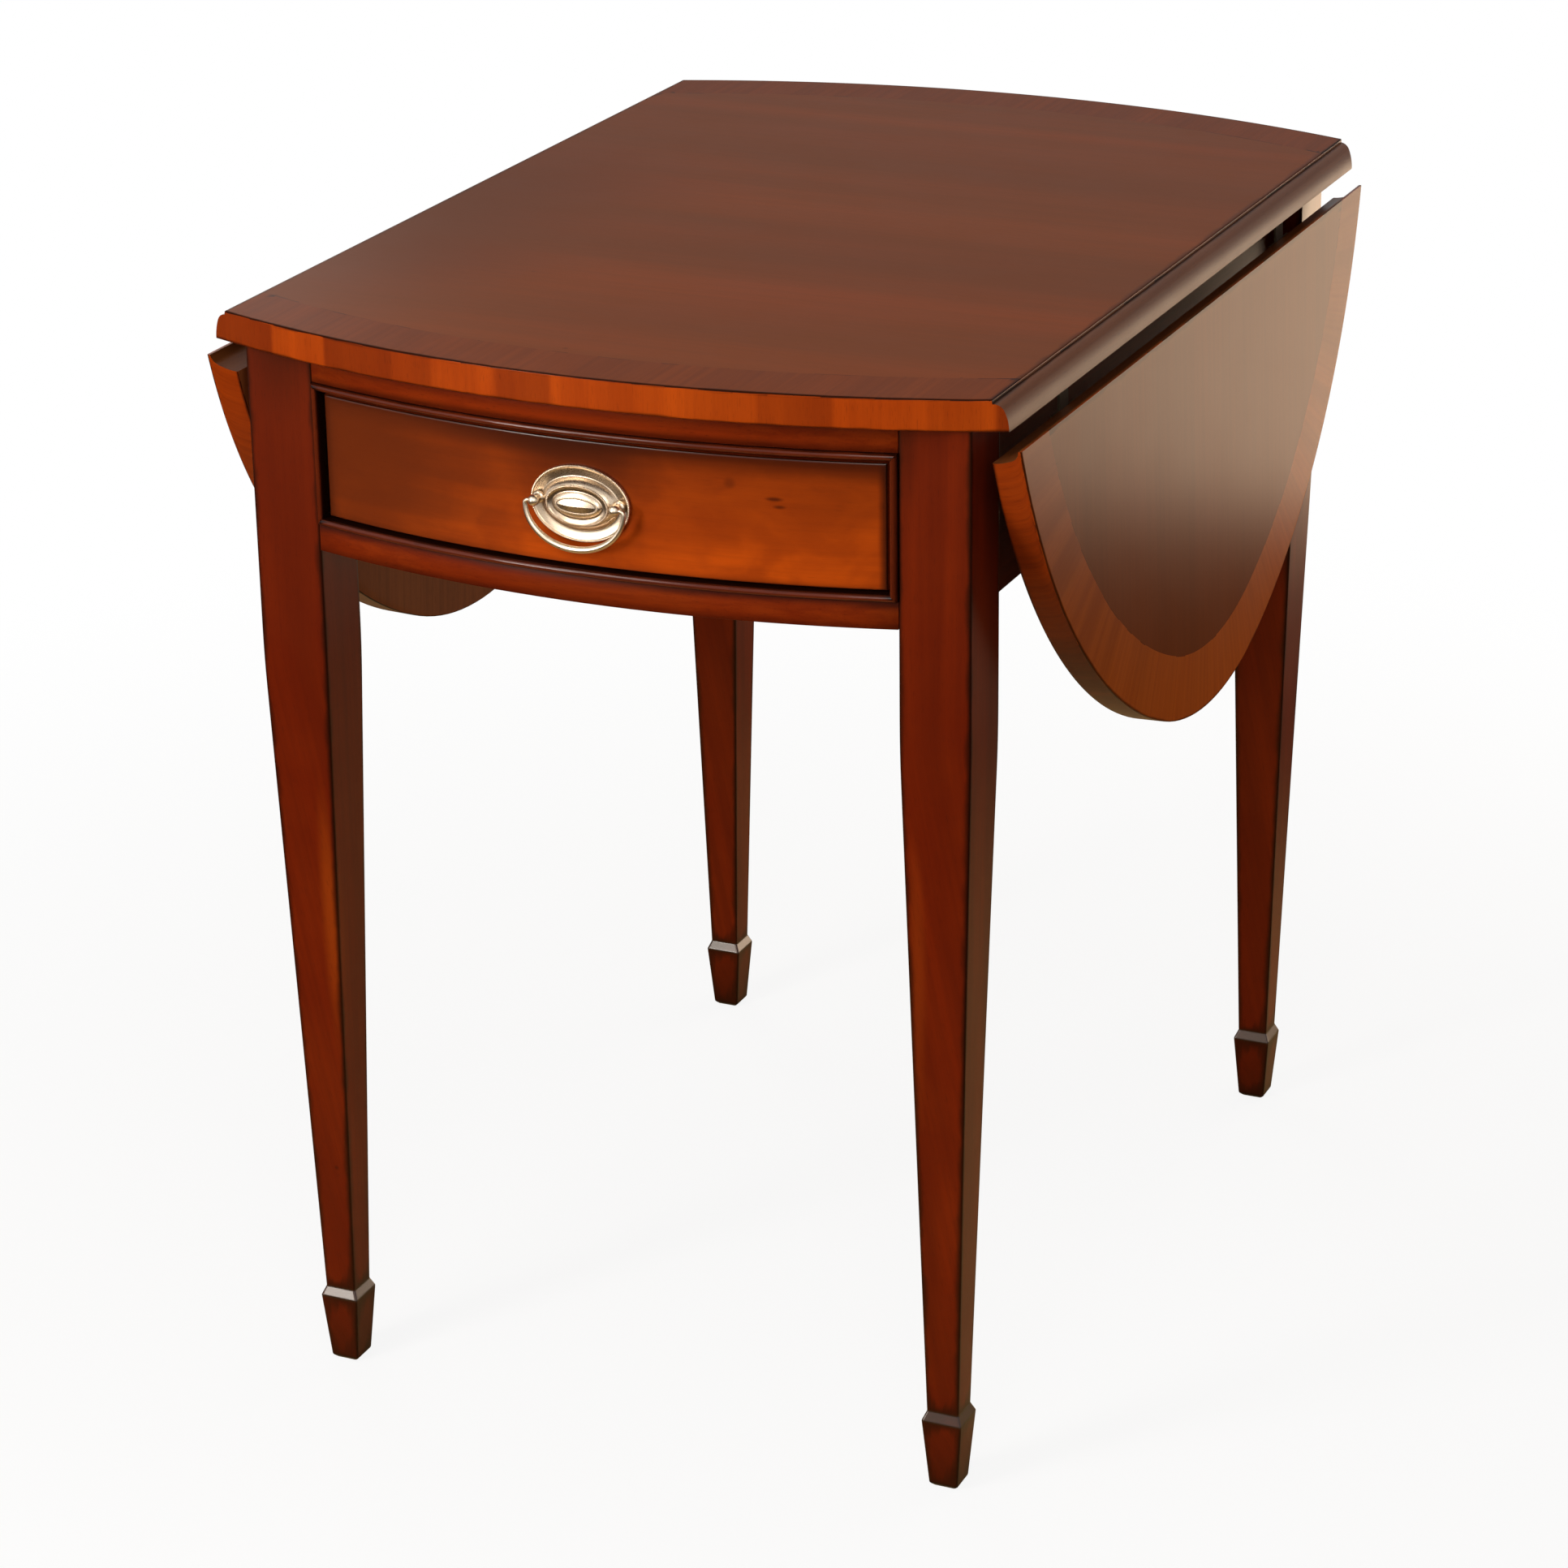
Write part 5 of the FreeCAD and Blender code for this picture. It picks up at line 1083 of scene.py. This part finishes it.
def floor_finish():
    """A plain pale floor, seen lifted towards white, fully so far from the table. Reflections show that
    white in the distance. Near the table reflections and bounced light meet a warm tan, further off a dim
    brown."""
    finish = bpy.data.materials.new("pale_floor")
    tree = cleared(finish)
    place = add(tree, "TexCoord").outputs["Object"]
    seen = add(tree, "LightPath").outputs
    away = length_of(tree, place)
    lift = maths(tree, "MULTIPLY", remap(tree, away, 0.4, 1.6, 0.88, 1.0), seen["Is Camera Ray"])
    mirrored = maths(tree, "MULTIPLY", remap(tree, away, 3.0, 4.2),
                     maths(tree, "MAXIMUM", seen["Is Glossy Ray"], seen["Is Transmission Ray"]))
    speckle = remap(tree, noise(tree, place, (40, 40, 40), 3), 0.3, 0.7, 0.96, 1.0)
    tan = tint(tree, seen["Is Glossy Ray"], FLOOR_TAN, FLOOR_TAN_MIRRORED)
    near = tint(tree, remap(tree, away, 0.6, 1.1), tan, FLOOR_DIM)
    own = tint(tree, speckle, BLACK, near)
    pale = tint(tree, seen["Is Camera Ray"], own, FLOOR_PALE)
    matt = add(tree, "BsdfDiffuse", {"Color": pale}).outputs[0]
    white = add(tree, "Emission", {"Color": WHITE, "Strength": 1.0}).outputs[0]
    mixed = add(tree, "MixShader", {0: maths(tree, "MAXIMUM", lift, mirrored), 1: matt, 2: white}).outputs[0]
    add(tree, "OutputMaterial", {"Surface": mixed})
    return finish


def floor_disc():
    """A flat disc just under the feet: circles of growing radius."""
    radius = np.linspace(0, 1, 25)[:, None] ** 1.5 * FLOOR_RADIUS
    turn = np.linspace(0, FULL_TURN, 97)[None]
    points = xyz(radius * np.cos(turn), radius * np.sin(turn), -FLOOR_SINK)
    made = make_piece("studio_floor", [patch(points, radius, turn)], [floor_finish()])
    if made.data.polygons[0].normal.z < 0:
        made.data.flip_normals()


def studio_world():
    """White where it is seen, also in a reflection; as light, a low horizon that fades to a dim sky."""
    world = bpy.data.worlds.new("studio_world")
    bpy.context.scene.world = world
    tree = cleared(world)
    seen = add(tree, "LightPath").outputs
    up = add(tree, "SeparateXYZ", {0: add(tree, "TexCoord").outputs["Generated"]}).outputs[2]
    low = remap(tree, up, 0.05, 0.42, 1.0, 0.0)
    sky = tint(tree, low, SKY_DIM, SKY_LOW)
    air = add(tree, "Background", {"Color": sky, "Strength": 1.0}).outputs[0]
    white = add(tree, "Background", {"Color": WHITE, "Strength": 1.0}).outputs[0]
    mirrored = maths(tree, "MAXIMUM", seen["Is Glossy Ray"], seen["Is Transmission Ray"])
    open_view = maths(tree, "MAXIMUM", seen["Is Camera Ray"], mirrored)
    mixed = add(tree, "MixShader", {0: open_view, 1: air, 2: white}).outputs[0]
    add(tree, "OutputWorld", {"Surface": mixed})


def aimed(name, data, right, up, back, place):
    """A lamp or a camera at a place, turned so that it looks away from its back."""
    turn = np.eye(4)
    turn[:3] = np.stack([right, up, back, place], 1)
    holder = new_object(name, data)
    holder.matrix_world = Matrix(turn.tolist())
    return holder


def softbox(name, place, aim, size, radiance, colour=WARM_WHITE):
    """A soft rectangular lamp at a place, facing an aim point; its power is radiance times pi times area."""
    lamp = bpy.data.lights.new(name, "AREA")
    lamp.shape = "RECTANGLE"
    lamp.size, lamp.size_y = size
    lamp.color = colour
    lamp.energy = radiance * math.pi * size[0] * size[1]
    back = np.subtract(place, aim) / np.linalg.norm(np.subtract(place, aim))
    right = np.cross((0, 0, 1), back)
    right = right / np.linalg.norm(right)
    aimed(name, lamp, right, np.cross(back, right), back, place).visible_camera = False


SENSOR = 36.0
CAMERA_REACH = 50
FOCAL_PIXELS = 5558.44
FRAME_PIXELS = 1932
CAMERA_PLACE = (1.12504, -2.561774, 1.449861)
CAMERA_YAW = math.radians(24.253)
CAMERA_PITCH = math.radians(-21.921)
CAMERA_ROLL = math.radians(-0.806)


def photo_camera():
    """A camera at the photograph's place: yaw about Z, pitch about its right hand, roll about its view."""
    level = math.cos(CAMERA_PITCH)
    ahead = np.array([-math.sin(CAMERA_YAW) * level, math.cos(CAMERA_YAW) * level, math.sin(CAMERA_PITCH)])
    right = np.array([math.cos(CAMERA_YAW), math.sin(CAMERA_YAW), 0])
    up = np.cross(right, ahead)
    rolled_right = right * math.cos(CAMERA_ROLL) + up * math.sin(CAMERA_ROLL)
    rolled_up = -right * math.sin(CAMERA_ROLL) + up * math.cos(CAMERA_ROLL)
    lens = bpy.data.cameras.new("photo_camera")
    lens.sensor_width = SENSOR
    lens.lens = SENSOR * FOCAL_PIXELS / FRAME_PIXELS
    lens.clip_end = CAMERA_REACH
    bpy.context.scene.camera = aimed("photo_camera", lens, rolled_right, rolled_up, -ahead, CAMERA_PLACE)


floor_disc()
studio_world()
softbox("key_softbox", (-0.62, -1.5, 1.28), (0, -0.2, 0.5), (0.6, 0.6), 7.6)
softbox("right_softbox", (0.55, -1.5, 1.2), (0, -0.2, 0.5), (0.7, 0.7), 4.3)
softbox("glint_softbox", (-1.55, -2.9, 0.95), (0, -0.1, 0.4), (0.5, 0.7), 26.0)
softbox("upper_softbox", (-1.0, -1.75, 2.4), (0, -0.2, 0.5), (0.45, 0.45), 10.0)
softbox("overhead_softbox", (0.5, 0.6, 2.6), (0, 0.1, 0.5), (1.6, 1.6), 1.0)
softbox("back_fill", (-2.1, 1.9, 0.9), (0, 0, 0.4), (1.2, 1.2), 2.6, (1.0, 0.93, 0.84))
softbox("back_strip", (0.90, 1.70, 0.25), (0.90, 0, 0.25), (1.3, 0.5), 6.4, (1.0, 0.75, 0.52))
photo_camera()
bpy.context.scene.view_settings.view_transform = "Standard"
